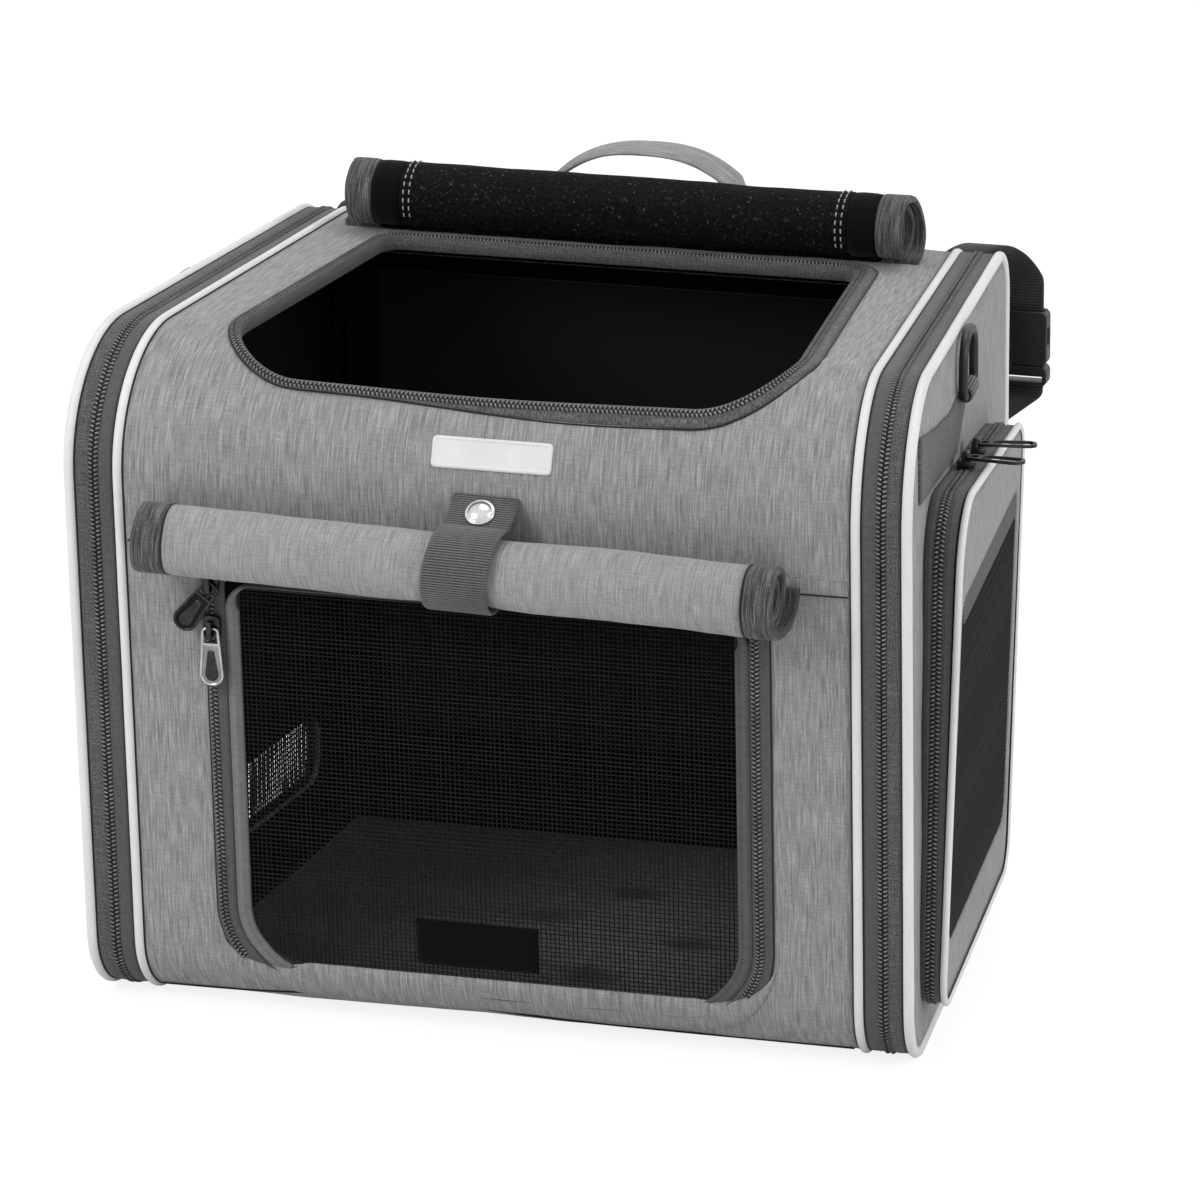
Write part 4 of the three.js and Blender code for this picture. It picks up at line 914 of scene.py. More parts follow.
def net(name, surface, polygon, pitch, thread, look, body, node, lift=0.0, seed=1):
    """Crossed threads that fill an outline, one layer laid over the other"""
    rng = np.random.default_rng(seed)
    verts, faces, uvs = [], [], []
    corner = np.array([(1, 0), (0, 1), (-1, 0), (0, -1)]) * thread / 2
    low, high = polygon.min(0), polygon.max(0)
    ahead = np.roll(polygon, -1, axis=0)
    for axis in (0, 1):
        other = 1 - axis
        for line in np.arange(low[axis] + pitch / 2, high[axis], pitch):
            line += rng.uniform(-0.06, 0.06) * pitch
            crosses = (polygon[:, axis] > line) != (ahead[:, axis] > line)
            a, b = polygon[crosses], ahead[crosses]
            share = (line - a[:, axis]) / (b[:, axis] - a[:, axis])
            hits = np.sort(a[:, other] + share * (b[:, other] - a[:, other]))
            for start, end in zip(hits[::2], hits[1::2]):
                count = max(int((end - start) / 9), 1) + 1
                uv = np.zeros((count, 2))
                uv[:, axis] = line + rng.uniform(-0.05, 0.05, count) * pitch
                uv[:, other] = np.linspace(start, end, count)
                place, out = surface(uv)
                step = np.zeros((count, 2))
                step[:, axis] = 1
                beside = unit(surface(uv + step)[0] - place)
                height = lift + (axis - 0.5) * thread * 0.8 + rng.uniform(-0.05, 0.05)
                place = place + out * height
                ring = place[:, None] + corner[:, :1] * beside[:, None] + corner[:, 1:] * out[:, None]
                first = 4 * len(verts)
                verts.extend(ring)
                faces += ladder(first, 4, count - 1)
                last = first + 4 * (count - 1)
                faces += [tuple(range(first, first + 4)), tuple(range(last, last + 4))]
                uvs.extend(np.repeat(uv, 4, axis=0))
    threads = make(name, np.concatenate(verts), faces, np.array(uvs), [look], smooth=False)
    settle(threads, body, "black_mesh", node)


def refined(node, look, bevel, slot, body, segments=2, smooth_angle=40):
    """The shape of a rigid node with softened edges and smooth curved faces"""
    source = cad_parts[node]
    mesh = source.data.copy()
    shell = bmesh.new()
    shell.from_mesh(mesh)
    bmesh.ops.remove_doubles(shell, verts=shell.verts, dist=1e-6)
    bmesh.ops.dissolve_limit(
        shell, angle_limit=math.radians(1), verts=shell.verts, edges=shell.edges,
        use_dissolve_boundaries=False,
    )
    folded = math.radians(smooth_angle)
    sharp = [edge for edge in shell.edges if edge.is_manifold and edge.calc_face_angle(0) > folded]
    if bevel:
        bmesh.ops.bevel(shell, geom=sharp, offset=bevel * MM, segments=segments, profile=0.6, affect="EDGES",
                        clamp_overlap=True)
    shell.to_mesh(mesh)
    shell.free()
    mesh.materials.clear()
    mesh.materials.append(look)
    mesh.polygons.foreach_set("use_smooth", [True] * len(mesh.polygons))
    mesh.set_sharp_from_angle(angle=folded)
    settle(placed(f"{node}_finished", mesh), body, slot, node)


def smooth_share(value, low, high):
    """0 below low, 1 above high, and a soft step between them"""
    share = np.clip((np.asarray(value, float) - low) / (high - low), 0, 1)
    return share * share * (3 - 2 * share)


# Sheets of the centre cloth
def puffed(seed, puff, edge, uneven=0.7):
    """Relief of padded cloth: low at its seams, full in the middle, and not quite even"""
    def relief(places, distance, base):
        full = puff * (1 - np.exp(-distance / edge))
        soft = np.clip(distance / edge, 0, 1)
        ripple = waves(base, seed + 5, PUFF_RIPPLE, uneven * PUFF_RIPPLE_SHARE)
        return full + soft * (waves(base, seed, PUFF_WAVE, uneven) + ripple)
    return relief


def door_corners(top, top_radius):
    foot, top = up_front(DOOR_FOOT), up_front(top)
    return rounded(box_corners(-DOOR_HALF, DOOR_HALF, foot, top, DOOR_CORNER, top_radius, from_top=True))


door_track = Track(door_corners(DOOR_TOP, TAPE + 2 * DOOR_BINDING))
zip_ends = [(np.array([sign * DOOR_HALF, up_front(ZIP_TOP)]), np.array([sign, 0.0])) for sign in (-1, 1)]
zip_corners = door_corners(ZIP_TOP, TAPE)[ARC_STEPS + 1:-ARC_STEPS - 1]
zip_track = Track([zip_ends[0], *zip_corners, zip_ends[1]], closed=False)
opening_track = Track(rounded([
    (-OPENING_REAR_HALF, OPENING_REAR, OPENING_REAR_CORNER),
    (-OPENING_HALF, -OPENING_FRONT, OPENING_CORNER),
    (0, -OPENING_FRONT - OPENING_BOW, BOW_RADIUS),
    (OPENING_HALF, -OPENING_FRONT, OPENING_CORNER),
    (OPENING_REAR_HALF, OPENING_REAR, OPENING_REAR_CORNER),
]))

seam_at = front_length(up_front(SEAM_HEIGHT))


def flattened(track, lengths, pitch, inset):
    """A track's outline with its v turned into length along the profile"""
    a, b = track.outline(pitch, inset).T
    return joined(a, lengths(b))


# Where a group of creases lies, which way it runs, how far apart, how far it reaches and how high
CREASES = (
    (-152, -108, 50, 6.5, 30, 0.55),
    (-128, -128, 62, 7.5, 20, 0.4),
    (152, -98, 58, 10, 34, 0.6),
)


def creased(places):
    """Height of the soft creases in the cloth at each place"""
    rise = np.zeros(len(places))
    for x, y, heading, apart, reach, height in CREASES:
        turn = math.radians(heading)
        beside = places - [x, roof_length(y)]
        across = beside @ [-math.sin(turn), math.cos(turn)]
        away = (beside ** 2).sum(1) / reach ** 2
        rise += height * np.exp(-away) * np.sin(2 * math.pi * across / apart + 0.4 * np.sin(beside[:, 0] / 9))
    return rise


def centre_cloth():
    soft = puffed(2, 0.6, 9)

    def relief(places, distance, base):
        return soft(places, distance, base) + creased(places) * np.clip(distance / 6, 0, 1)

    for name, node, start, end, pitch, options in (
        ("front_cloth", "front_panel", foot_from + GAP, seam_at, CLOTH_PITCH,
         {"relief": puffed(1, 0.5, 9), "holes": [flattened(door_track, front_length, 3, TAPE / 2)]}),
        ("upper_cloth", "upper_panel", seam_at + GAP, rear_top_to - GAP, 0.75 * CLOTH_PITCH,
         {"relief": relief, "holes": [flattened(opening_track, roof_length, 3, 0)]}),
        ("back_cloth", "back_panel", rear_top_to + GAP, rear_foot_to - GAP, CLOTH_PITCH,
         {"relief": puffed(3, 0.3, 9)}),
        ("base_cloth", "bottom_panel", rear_foot_to + GAP, profile.length - GAP, 2 * CLOTH_PITCH,
         {"lift": BASE}),
    ):
        outline = box_outline(-CENTRE_HALF, CENTRE_HALF, start, end, max(pitch, CLOTH_PITCH))
        heather(name, shell_surface, outline, pitch, WALL, "root", node, **options)


def seam_across():
    """The upper cloth laps over the front cloth"""
    lap, lap_rise, lift, shadow_drop = 7, 1.1, 0.3, 1.3
    u = np.linspace(-CENTRE_HALF + 1, CENTRE_HALF - 1, 90)
    along = towards([0, *front_up], u)
    place, out = shell_surface(joined(u, seam_at + lap / 2 - 1))
    band("seam_lap", [HEATHER], strap_section(lap, lap_rise), (place + out * lift, along, out), "root",
         slot="heather_fabric", turned=True)
    place, out = shell_surface(joined(u, seam_at - shadow_drop))
    seam("seam_shadow", (place + out * lift, along, out))


def foot_seam():
    """The front cloth meets the base along a line that wanders over the rounded foot"""
    u = np.linspace(-CENTRE_HALF + 2, CENTRE_HALF - 2, 90)
    share = 0.36 + 0.24 * np.exp(-((u + 50) / 60) ** 2)
    place, out = shell_surface(joined(u, foot_from + (foot_to - foot_from) * share))
    seam("foot_seam", (place + out * 0.8, unit(np.cross(out, [1.0, 0.0, 0.0])), out))


# Side bands: first the cloth sleeve that holds the wire hoop under the inner piping
HOOP_SLEEVE = [
    (-10.3, -5.3), (-10.3, -8.5), (-6.3, -8.5), (-3.2, -5.5), (-2.4, -3.3), (2.3, -3),
    (2.3, -3.6), (-1.9, -3.9), (-2.8, -5.9), (-6.1, -9.1), (-10.9, -9.1), (-10.9, -5.3),
]


def bands():
    s = profile.steps(3.0)
    for side, sign in SIDES:
        def around(across, lift=0.0):
            origin, beside, out = profile_frames(across, sign, s)
            return origin + out * lift, beside, out

        wobble = 1 + 0.05 * np.array([noise.noise(Vector((sign * 9, v / 40, 0))) for v in s])
        for kind, place, width, body, shifts in (
            ("inner", INNER_AT, INNER_PIPING, "root", (-1, 1)),
            ("outer", OUTER_AT, OUTER_PIPING, f"side_{side}", (-1,)),
        ):
            sections = round_section(width / 2, 14) * wobble[:, None, None]
            frames = around(place, PIPING_RISE - width / 2)
            band(f"{kind}_piping_{side}_cord", [REFLECTIVE], sections, frames, body, f"{kind}_piping_{side}",
                 slot="reflective_piping", closed=True)
            # Dark lines along both edges of each piping: painted shade of the groove where the cord meets the
            # cloth at its seam
            for edge, shift in zip("ab", shifts):
                at = place + shift * (width / 2 + SEAM_THREAD * 0.3)
                seam(f"{kind}_seam_{side}_{edge}", around(at, SEAM_LIFT), body, True)

        for kind, turn, edge, crest, look, body in (
            ("inner", -1, BAND_FROM, 0.45, SMOOTH_TAPE, "root"),
            ("outer", 1, BAND_TO, 0.5, GRAINED_TAPE, f"side_{side}"),
        ):
            foot = edge - CHAIN_AT
            section = [(foot, 0), (foot - turn * 1.5, 0.35), (turn * 4.2, crest), (turn * 2.6, 0.15),
                       (turn * 0.3, 0), (turn * 0.3, -GUSSET), (foot, -GUSSET)]
            band(f"{kind}_gusset_{side}_tape", [look], section, around(CHAIN_AT), body,
                 f"{kind}_gusset_{side}", closed=True)
        band(f"hoop_sleeve_{side}", [LINING], HOOP_SLEEVE, around(INNER_AT), "root", slot="black_mesh",
             closed=True)

        def chain(count):
            return profile_frames(CHAIN_AT, sign, np.linspace(0, profile.length, count, endpoint=False))

        coil(f"side_zip_{side}", chain, profile.length, SIDE_TEETH_HALF, SIDE_TEETH_RISE,
             ("root", f"side_{side}"), SIDE_TEETH_GAP)

        start, end = BAND_FROM, SIDE_FACE - SIDE_WALL - GAP
        points = 2 * FOLD_PLEATS
        under = [
            (start + (end - start) * i / points - CHAIN_AT,
             -GUSSET - GAP - (FOLD_DEPTH - FOLD_CLOTH if i % 2 else 0))
            for i in range(points + 1)
        ]
        over = [(across, out - FOLD_CLOTH) for across, out in reversed(under)]
        fold = sweep(f"expansion_cloth_{side}", [LINING], under + over, *around(CHAIN_AT), closed=True,
                     smooth=False)
        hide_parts(f"expansion_fold_{side}")
        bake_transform(fold)


# Front door
def cover_width(s):
    """How far the cover strip reaches over the zip's tape and the door's binding"""
    started = smooth_share(s, COVER_FROM, COVER_FROM + COVER_RAMP)
    ended = smooth_share(s, COVER_TO - COVER_RAMP, COVER_TO)
    return (TAPE + GAP + DOOR_BINDING + COVER_PAST) * (started - ended)


def uncovered(s, inset):
    """1 where a place on the tape or binding shows, and 0 where it lies under the cover strip"""
    width = cover_width(s)
    cover_edge = width - COVER_OUT - COVER_SLOPE * (1 - smooth_share(width, 0, COVER_SLOPE))
    return 1 - smooth_share(cover_edge - inset, -COVER_SLOPE, COVER_SLOPE / 6)


def door_zip():
    s = zip_track.steps(1.5)
    tape = np.array([
        (0.3, 0), (0.6, 0.9), (1.6, 1.25), (2.6, 0.7), (TAPE / 2, 0.6), (TAPE - 2.4, 0.7), (TAPE, 0.9),
        (TAPE, -0.4), (0.3, -0.4),
    ])
    sections = repeated(tape, s)
    sections[:, :, 1] *= 0.05 + 0.95 * uncovered(s[:, None], tape[:, 0])
    band("door_zip_tape", [SMOOTH_TAPE], sections, frames_on(front_surface, zip_track, s, 0.0, GAP), "root",
         "door_zip")

    def chain(count):
        run = np.linspace(0, zip_track.length, count)
        lane = COIL_LANES[0] + (COIL_LANES[1] - COIL_LANES[0]) * smooth_share(run, 0, zip_track.length)
        return frames_on(front_surface, zip_track, run, lane, 2.3 * uncovered(run, lane + 1.5) - 1.4)

    coil("door_coil", chain, zip_track.length, DOOR_TEETH_HALF, DOOR_TEETH_RISE, closed=False)
    # A dark line along the tape's outer edge: painted shade of the groove at the seam between cloth and tape
    seam("door_zip_seam_shade", frames_on(front_surface, zip_track, s, 0.3, 0.8 * uncovered(s, 0.3)))


def door():
    s = door_track.steps(1.5)
    point, normal = door_track.at(s)
    edge = TAPE + GAP
    binding = np.array([
        (0, -0.5), (0, 1.0), (1.2, 1.9), (DOOR_BINDING / 2, 2.3), (DOOR_BINDING - 1.2, 1.9),
        (DOOR_BINDING, 0.9), (DOOR_BINDING, -0.5),
    ])
    run = zip_track.steps(0.5)
    line = zip_track.at(run)[0]
    beside = run[[np.argmin(np.linalg.norm(line - here, axis=1)) for here in point]]
    sections = repeated(binding, s)
    sections[:, :, 0] *= (1 - 0.8 * np.clip(normal[:, 1], 0, 1))[:, None]
    sections[:, :, 1] *= 0.08 + 0.92 * uncovered(beside[:, None], edge + binding[:, 0])
    # The binding's left-side faces take the lighter tape: painted light where the key lamp falls on that side
    left = np.tile((normal[:, 0] < -0.3).astype(int)[:, None], (1, len(binding)))
    frames = frames_on(front_surface, door_track, s, edge, 0.2)
    band("door_edge_tape", [SMOOTH_TAPE, PAINTED_LIGHT_TAPE], sections, frames, "door", "door_binding", closed=True,
         face_looks=left)

    reach = edge + DOOR_BINDING - 1.5
    half, foot, top = DOOR_HALF - reach, up_front(DOOR_FOOT) + reach, up_front(DOOR_TOP) - edge - 1
    net_track = Track(rounded(box_corners(-half, half, foot, top, DOOR_CORNER - reach, 3, True)))
    net("door_net_threads", front_surface, net_track.outline(3.0), NET_PITCH, NET_THREAD, NET,
        "door", "door_net", lift=-0.4)
    frames = frames_on(front_surface, net_track, net_track.steps(3.0), 1.0, 0.0)
    band("door_net_hem", [BLACK_CLOTH], round_section(0.8, 8), frames, "door", slot="black_mesh", closed=True)

    run = np.linspace(COVER_FROM + 6, COVER_TO - 6, 130)
    lower = zip_track.at(run, -COVER_OUT)[0]
    upper = zip_track.at(run, cover_width(run) - COVER_OUT)[0][::-1]
    heather("door_cover_strip", front_surface, np.concatenate([lower, upper]), 2.5, 0.7, "door",
            relief=lambda p, d, b: 0.9 * (1 - np.exp(-d / 1.8)) + waves(b, 62, 24, 0.3), lift=1.0)

    middle = up_front(PATCH_MIDDLE)
    outline = box_outline(PATCH_SHIFT - PATCH_WIDTH / 2, PATCH_SHIFT + PATCH_WIDTH / 2,
                          middle - PATCH_HEIGHT / 2, middle + PATCH_HEIGHT / 2, 3)
    patch = panel("net_patch_cloth", front_surface, outline, [], 3, 1.0, [PATCH_CLOTH],
                  lambda p, d, b: 0.25 * (1 - np.exp(-d / 3)) + waves(b, 8, 15, 0.2), lift=0.55)
    settle(patch, "door", "black_patch", "net_patch")


# Top opening
def top_opening():
    s = opening_track.steps(3.0)
    tape = np.array([
        (-TOP_TAPE_OUT, -0.3), (-TOP_TAPE_OUT, 0.5), (-TOP_TAPE_OUT + 1.6, 1.1), (-1.5, 0.7), (1.5, 0.7),
        (TOP_TAPE_IN - 1, 1.0), (TOP_TAPE_IN, 0.2), (TOP_TAPE_IN, -TOP_TAPE_HANG),
        (TOP_TAPE_IN - 1.2, -TOP_TAPE_HANG - 0.4), (TOP_TAPE_IN - 1.6, -0.6), (0, -0.3),
    ])
    shown = 0.15 + 0.85 * smooth_share(opening_track.at(s)[0][:, 0], -70, 60)
    sections = repeated(tape, s)
    sections[:, :, 0] = np.where(tape[:, 0] < 0, tape[:, 0] * shown[:, None], tape[:, 0])
    frames = frames_on(roof_surface, opening_track, s, 0.0, GAP)
    band("opening_tape", [GRAINED_TAPE], sections, frames, "root", "top_zip", closed=True)

    def chain(count):
        run = np.linspace(0, opening_track.length, count, endpoint=False)
        return frames_on(roof_surface, opening_track, run, TOP_TEETH_PLACE, 1.0)

    coil("opening_coil", chain, opening_track.length, TOP_TEETH_HALF, TOP_TEETH_RISE)
    # A dark line just outside the tape: painted shadow along the seam between cloth and tape
    frames = frames_on(roof_surface, opening_track, s, -TOP_TAPE_OUT * shown - 0.2, 0.5)
    seam("opening_seam_shade", frames, closed=True)


# Rolled flaps
front_matrix = np.eye(4)
front_matrix[:3, 1] = [0, *front_up]
front_matrix[:3, 2] = [0, *front_out]
front_matrix[:3, 3] = [0, *front_foot]


def moved(x=0.0, y=0.0, z=0.0, tilt=0.0):
    matrix = np.eye(4)
    angle = math.radians(tilt)
    matrix[:2, :2] = [[math.cos(angle), -math.sin(angle)], [math.sin(angle), math.cos(angle)]]
    matrix[:3, 3] = [x, y, z]
    return matrix


def carried(matrix, points):
    return points @ matrix[:3, :3].T + matrix[:3, 3]


roll_matrix = front_matrix @ moved(FRONT_ROLL_SHIFT, up_front(FRONT_ROLL_HEIGHT), GAP, FRONT_ROLL_TILT)


def roll_turns(diameter):
    return math.floor(diameter / 2 / (ROLL_CLOTH + ROLL_SPACE)) / 2 + 1 / 2


def spiral_section(diameter, grow):
    """Outer and inner side of a rolled sheet as one closed outline of (along, out) points"""
    to_turn = 40
    i = np.arange(int(roll_turns(diameter) * to_turn) + 1) / to_turn
    angle = -math.pi / 2 + 2 * math.pi * i
    radius = diameter / 2 - (ROLL_CLOTH + ROLL_SPACE) * i
    tail = np.clip(1 - i / 0.08, 0, 1)
    outer = radius + grow - 0.4 * tail
    inner = radius - ROLL_CLOTH - grow
    shape = [joined(r * np.cos(angle), r * np.sin(angle)) for r in (outer, inner)]
    return np.concatenate([shape[0], shape[1][::-1]])


def slackness(place, angle, seed, uneven):
    """How far rolled cloth stands off an even roll, at a place along it and an angle round it"""
    c, s = math.cos(angle), math.sin(angle)
    broad = noise.noise(Vector((place / SLACK_WAVE, 1.6 * c, 1.6 * s + seed)))
    fine = noise.noise(Vector((place / SLACK_RIPPLE, 3 * c, 3 * s + seed)))
    return uneven * (broad + SLACK_RIPPLE_SHARE * fine)


def roll_skin(diameter, place, angles, seed, uneven, flip=1):
    """The radius of a roll's outermost cloth at these angles"""
    turn = flip * (angles - math.pi / 2) / (2 * math.pi) + 0.5
    radius = diameter / 2 - (ROLL_CLOTH + ROLL_SPACE) * turn
    slack = np.array([slackness(place, angle, seed, uneven) for angle in angles])
    return radius * (1 + slack / (diameter / 2))


def rolled(
    name, matrix, diameter, low, high, looks, grow, seed, pinch=None, uneven=0.5, step=4.0, end=0, flip=1,
):
    """A length of a rolled sheet, with the slackness of cloth. Its turns stand apart at an open end."""
    x = np.linspace(low, high, max(int((high - low) / step), 3) + 1)
    section = spiral_section(diameter, grow) * [flip, 1]
    rings = repeated(section, x)
    radius = np.linalg.norm(section, axis=1)
    angle = np.arctan2(section[:, 1], section[:, 0])
    for k, place in enumerate(x):
        slack = np.array([slackness(place, a, seed, uneven) for a in angle])
        change = slack * radius / (diameter / 2)
        if pinch is not None:
            pinched = PINCH * math.exp(-((place - pinch) / PINCH_REACH) ** 2)
            change = change - pinched * radius / (diameter / 2)
        rings[k] *= ((radius + change) / radius)[:, None]
        edge = min(place - low, high - place)
        if grow and edge < 1.2:
            rings[k] *= (1 - 0.02 * (1.2 - edge))
    drawn = np.zeros((len(x), len(section), 1))
    if end:
        share = (x - low) / (high - low) if end > 0 else (high - x) / (high - low)
        half = len(section) // 2
        along = np.arange(half) / max(half - 1, 1)
        along = np.concatenate([along, along[::-1]])
        uneven_edge = np.array([noise.noise(Vector((a * 9, seed * 2.3, 0))) for a in along])
        reach = ROLL_EDGE_OUT * np.exp(-(along / 0.1) ** 2) - ROLL_EDGE_IN * along ** 0.8
        reach = reach + ROLL_EDGE_UNEVEN * uneven_edge
        drawn[:, :, 0] = end * reach * smooth_share(share, 0.25, 1)[:, None]
    frames = (carried(matrix, joined(x, 0, 0)), towards(matrix[:3, 1], x), towards(matrix[:3, 2], x))
    return sweep(name, looks, np.concatenate([rings, drawn], -1), *frames, turned=True)


def ring_line(name, matrix, x, diameter, seed, uneven, flip):
    """A dark line round a roll, open where the roll lies against the wall"""
    angles = np.linspace(-0.35 * math.pi, 1.35 * math.pi, 60)
    out = joined(0, np.cos(angles), np.sin(angles))
    place = out * roll_skin(diameter, x, angles, seed, uneven, flip)[:, None] + [x, 0, 0]
    turned = matrix[:3, :3]
    seam(name, (carried(matrix, place), towards(turned[:, 0], angles), out @ turned.T))


def front_roll():
    matrix = roll_matrix @ moved(z=FRONT_ROLL / 2)
    rest = FRONT_ROLL_HALF - ROLL_END - GAP
    strap_at = FLAP_STRAP_PLACE - FRONT_ROLL_SHIFT
    body = rolled("front_flap_cloth", matrix, FRONT_ROLL, -rest, rest, [ROLL_HEATHER], 0.0, FRONT_ROLL_SEED,
                  strap_at, 0.9, flip=-1)
    settle(body, "root", "heather_fabric", "front_flap_roll")
    for side, sign in SIDES:
        low, high = sorted((sign * FRONT_ROLL_HALF, sign * (FRONT_ROLL_HALF - ROLL_END)))
        end = rolled(f"front_flap_binding_{side}", matrix, FRONT_ROLL, low, high, [DARK_SLUB], BINDING_RISE,
                     FRONT_ROLL_SEED, None, 0.8, 1.5, sign, -1)
        settle(end, "root", "trim_webbing", f"front_flap_roll_end_{side}")
        at = sign * (rest + GAP / 2)
        ring_line(f"front_flap_seam_{side}", matrix, at, FRONT_ROLL, FRONT_ROLL_SEED, 0.85, -1)


def flap_strap():
    wrap = FRONT_ROLL / 2 + GAP + WEBBING / 2
    start = math.acos((FRONT_ROLL / 2 - WEBBING / 2) / wrap) - math.pi
    angles = np.linspace(start, math.radians(STRAP_LEAVES), 60)
    path = joined(wrap * np.sin(angles), FRONT_ROLL / 2 + wrap * np.cos(angles))
    slope = math.radians(TAB_SLOPE)
    down = np.array([math.cos(slope), -math.sin(slope)])
    last = path[-1]
    reach = (last[1] - WEBBING / 2 * math.cos(slope)) / math.sin(slope)
    path = np.concatenate([path, last + down * np.linspace(0, reach, 22)[1:, None]])
    tangent = unit(np.gradient(path, axis=0))
    outs = joined(0, -tangent[:, 1], tangent[:, 0])
    matrix = roll_matrix @ moved(x=FLAP_STRAP_PLACE - FRONT_ROLL_SHIFT)
    skew = -STRAP_SKEW * (1 - smooth_share(np.arange(len(path)), len(path) / 3, len(path) - 8))
    frames = (carried(matrix, joined(skew, *path.T)), towards(matrix[:3, 0], path), outs @ matrix[:3, :3].T)
    band("flap_strap_webbing", [RIBBED], strap_section(FLAP_STRAP, WEBBING), frames, "root", "flap_strap")
    middle = np.array([-0.7, *(last + down * reach * 0.44)])
    facing = np.array([0, math.sin(slope), math.cos(slope)])
    snap(carried(matrix, middle + facing * (WEBBING / 2 + GAP / 2)), matrix[:3, :3] @ facing)


def snap(centre, axis):
    """A rolled rim, a shallow ring and a dome"""
    shape = [(0, 0), (0.97, 0), (1, 0.12), (0.98, 0.3), (0.9, 0.36), (0.84, 0.3), (0.78, 0.42), (0.66, 0.66),
             (0.5, 0.84), (0.3, 0.95), (0.12, 1), (0, 1.005)]
    axis = unit(np.asarray(axis, float))
    side = unit(np.cross(axis, [1.0, 0.2, 0.1]))
    other = np.cross(axis, side)
    count = 40
    verts = [centre]
    for out, up in shape[1:-1]:
        for k in range(count):
            angle = 2 * math.pi * k / count
            spread = side * math.cos(angle) + other * math.sin(angle)
            verts.append(centre + spread * out * SNAP_RADIUS + axis * up * SNAP_DOME)
    verts.append(centre + axis * shape[-1][1] * SNAP_DOME)
    rows = len(shape) - 2
    top = 1 + (rows - 1) * count
    faces = [(0, 1 + (k + 1) % count, 1 + k) for k in range(count)] + ladder(1, count, rows - 1)
    faces += [(top + k, top + (k + 1) % count, len(verts) - 1) for k in range(count)]
    verts = np.array(verts)
    settle(make("snap_dome", verts, faces, verts[:, [0, 2]], [NICKEL]), "root", "nickel", "snap_cap")


def plate():
    tip = math.radians(PLATE_ANGLE)
    corner = profile.points[ARC_STEPS + 1] - profile.normals[ARC_STEPS + 1] * SHOULDER_RADIUS
    facing = np.array([-math.cos(tip), math.sin(tip)])
    up = np.array([math.sin(tip), math.cos(tip)])
    origin = corner + facing * (SHOULDER_RADIUS + GAP)
    half, rise = PLATE_WIDTH / 2, PLATE_HEIGHT / 2
    track = Track(rounded(box_corners(-half, half, -rise, rise, PLATE_CORNER, PLATE_CORNER), 5))
    crest = 1.45
    levels = [(0, 0), (0, 0.8), (0.4, 1.3), (1.1, crest), (1.5, 1.2), (1.9, 1.1)]
    verts = np.array([
        (PLATE_PLACE + a, *(origin + up * b + facing * (level * PLATE_THICKNESS / crest)))
        for inset, level in levels for a, b in track.outline(1.2, inset)
    ])
    size = len(verts) // len(levels)
    faces = ladder(0, size, len(levels) - 1) + [range(size), range(len(verts) - size, len(verts))]
    settle(make("plate_moulding", verts, faces, verts[:, [0, 2]], [PLATE], smooth=False), "root",
           "white_plate", "face_plate")


def roof_at(y):
    return FRONT_HEIGHT - (FRONT_HEIGHT - REAR_HEIGHT) * (y + DEPTH / 2) / DEPTH


def top_roll():
    matrix = np.eye(4)
    matrix[:3, 3] = [0, TOP_ROLL_PLACE, roof_at(TOP_ROLL_PLACE) + GAP + TOP_ROLL / 2]
    rest = TOP_ROLL_HALF - TOP_ROLL_END - GAP
    inner = rest - TOP_ROLL_BORDER
    body = rolled("top_flap_cloth", matrix, TOP_ROLL, -inner, inner, [PEBBLED], 0.0, TOP_ROLL_SEED, None, 0.8,
                  3.0)
    settle(body, "root", "black_mesh", "top_flap_roll")
    angles = np.linspace(-0.4 * math.pi, 1.2 * math.pi, 60)
    out = joined(0, np.cos(angles), np.sin(angles))
    with_it = []
    for side, sign in SIDES:
        low, high = sorted((sign * (inner + GAP), sign * rest))
        border = rolled(f"top_flap_border_{side}", matrix, TOP_ROLL, low, high, [PATCH_CLOTH], 0.1,
                        TOP_ROLL_SEED, None, 0.8, 3.0)
        settle(border, "root", "black_mesh")
        low, high = sorted((sign * TOP_ROLL_HALF, sign * (TOP_ROLL_HALF - TOP_ROLL_END)))
        end = rolled(f"top_flap_binding_{side}", matrix, TOP_ROLL, low, high, [DARK_SLUB], BINDING_RISE,
                     TOP_ROLL_SEED, None, 0.9, 1.5, sign)
        settle(end, "root", "trim_webbing", f"top_flap_roll_end_{side}")
        with_it += [border, end]
        for row, inset in (("near", 2.2), ("far", 5.0)):
            x = sign * (inner - inset)
            skin = roll_skin(TOP_ROLL, x, angles, TOP_ROLL_SEED, 0.8)[:, None] + 0.25
            place = out * skin + [x, 0, 0] + matrix[:3, 3]
            stitches(f"top_flap_stitches_{side}_{row}", place, out, "root", WHITE_THREAD, 2.2, 4.0, 0.35)


# Carry handle
def handle():
    share = np.linspace(-1, 1, 81)
    rise = HANDLE_RISE * (1 - np.abs(share) ** HANDLE_FULLNESS)
    origin = joined(HANDLE_HALF * share, HANDLE_PLACE, roof_at(HANDLE_PLACE) + HANDLE_FOOT_GAP + rise)
    turned = np.minimum(rise / HANDLE_TWIST, 1)
    turn = turned * math.pi / 2
    across = joined(-np.sign(share) * np.cos(turn), np.sin(turn), 0)
    tangent = np.gradient(origin, axis=0)
    tangent = unit(tangent - across * (tangent * across).sum(-1, keepdims=True))
    width = HANDLE_FOOT_WIDTH + (HANDLE_WIDTH - HANDLE_FOOT_WIDTH) * turned
    sections = strap_section(1, 1) * joined(width, HANDLE_THICKNESS)[:, None]
    frames = (origin, across, unit(np.cross(tangent, across)))
    band("handle_band", [HEATHER], sections, frames, "handle", "carry_handle", slot="heather_fabric")


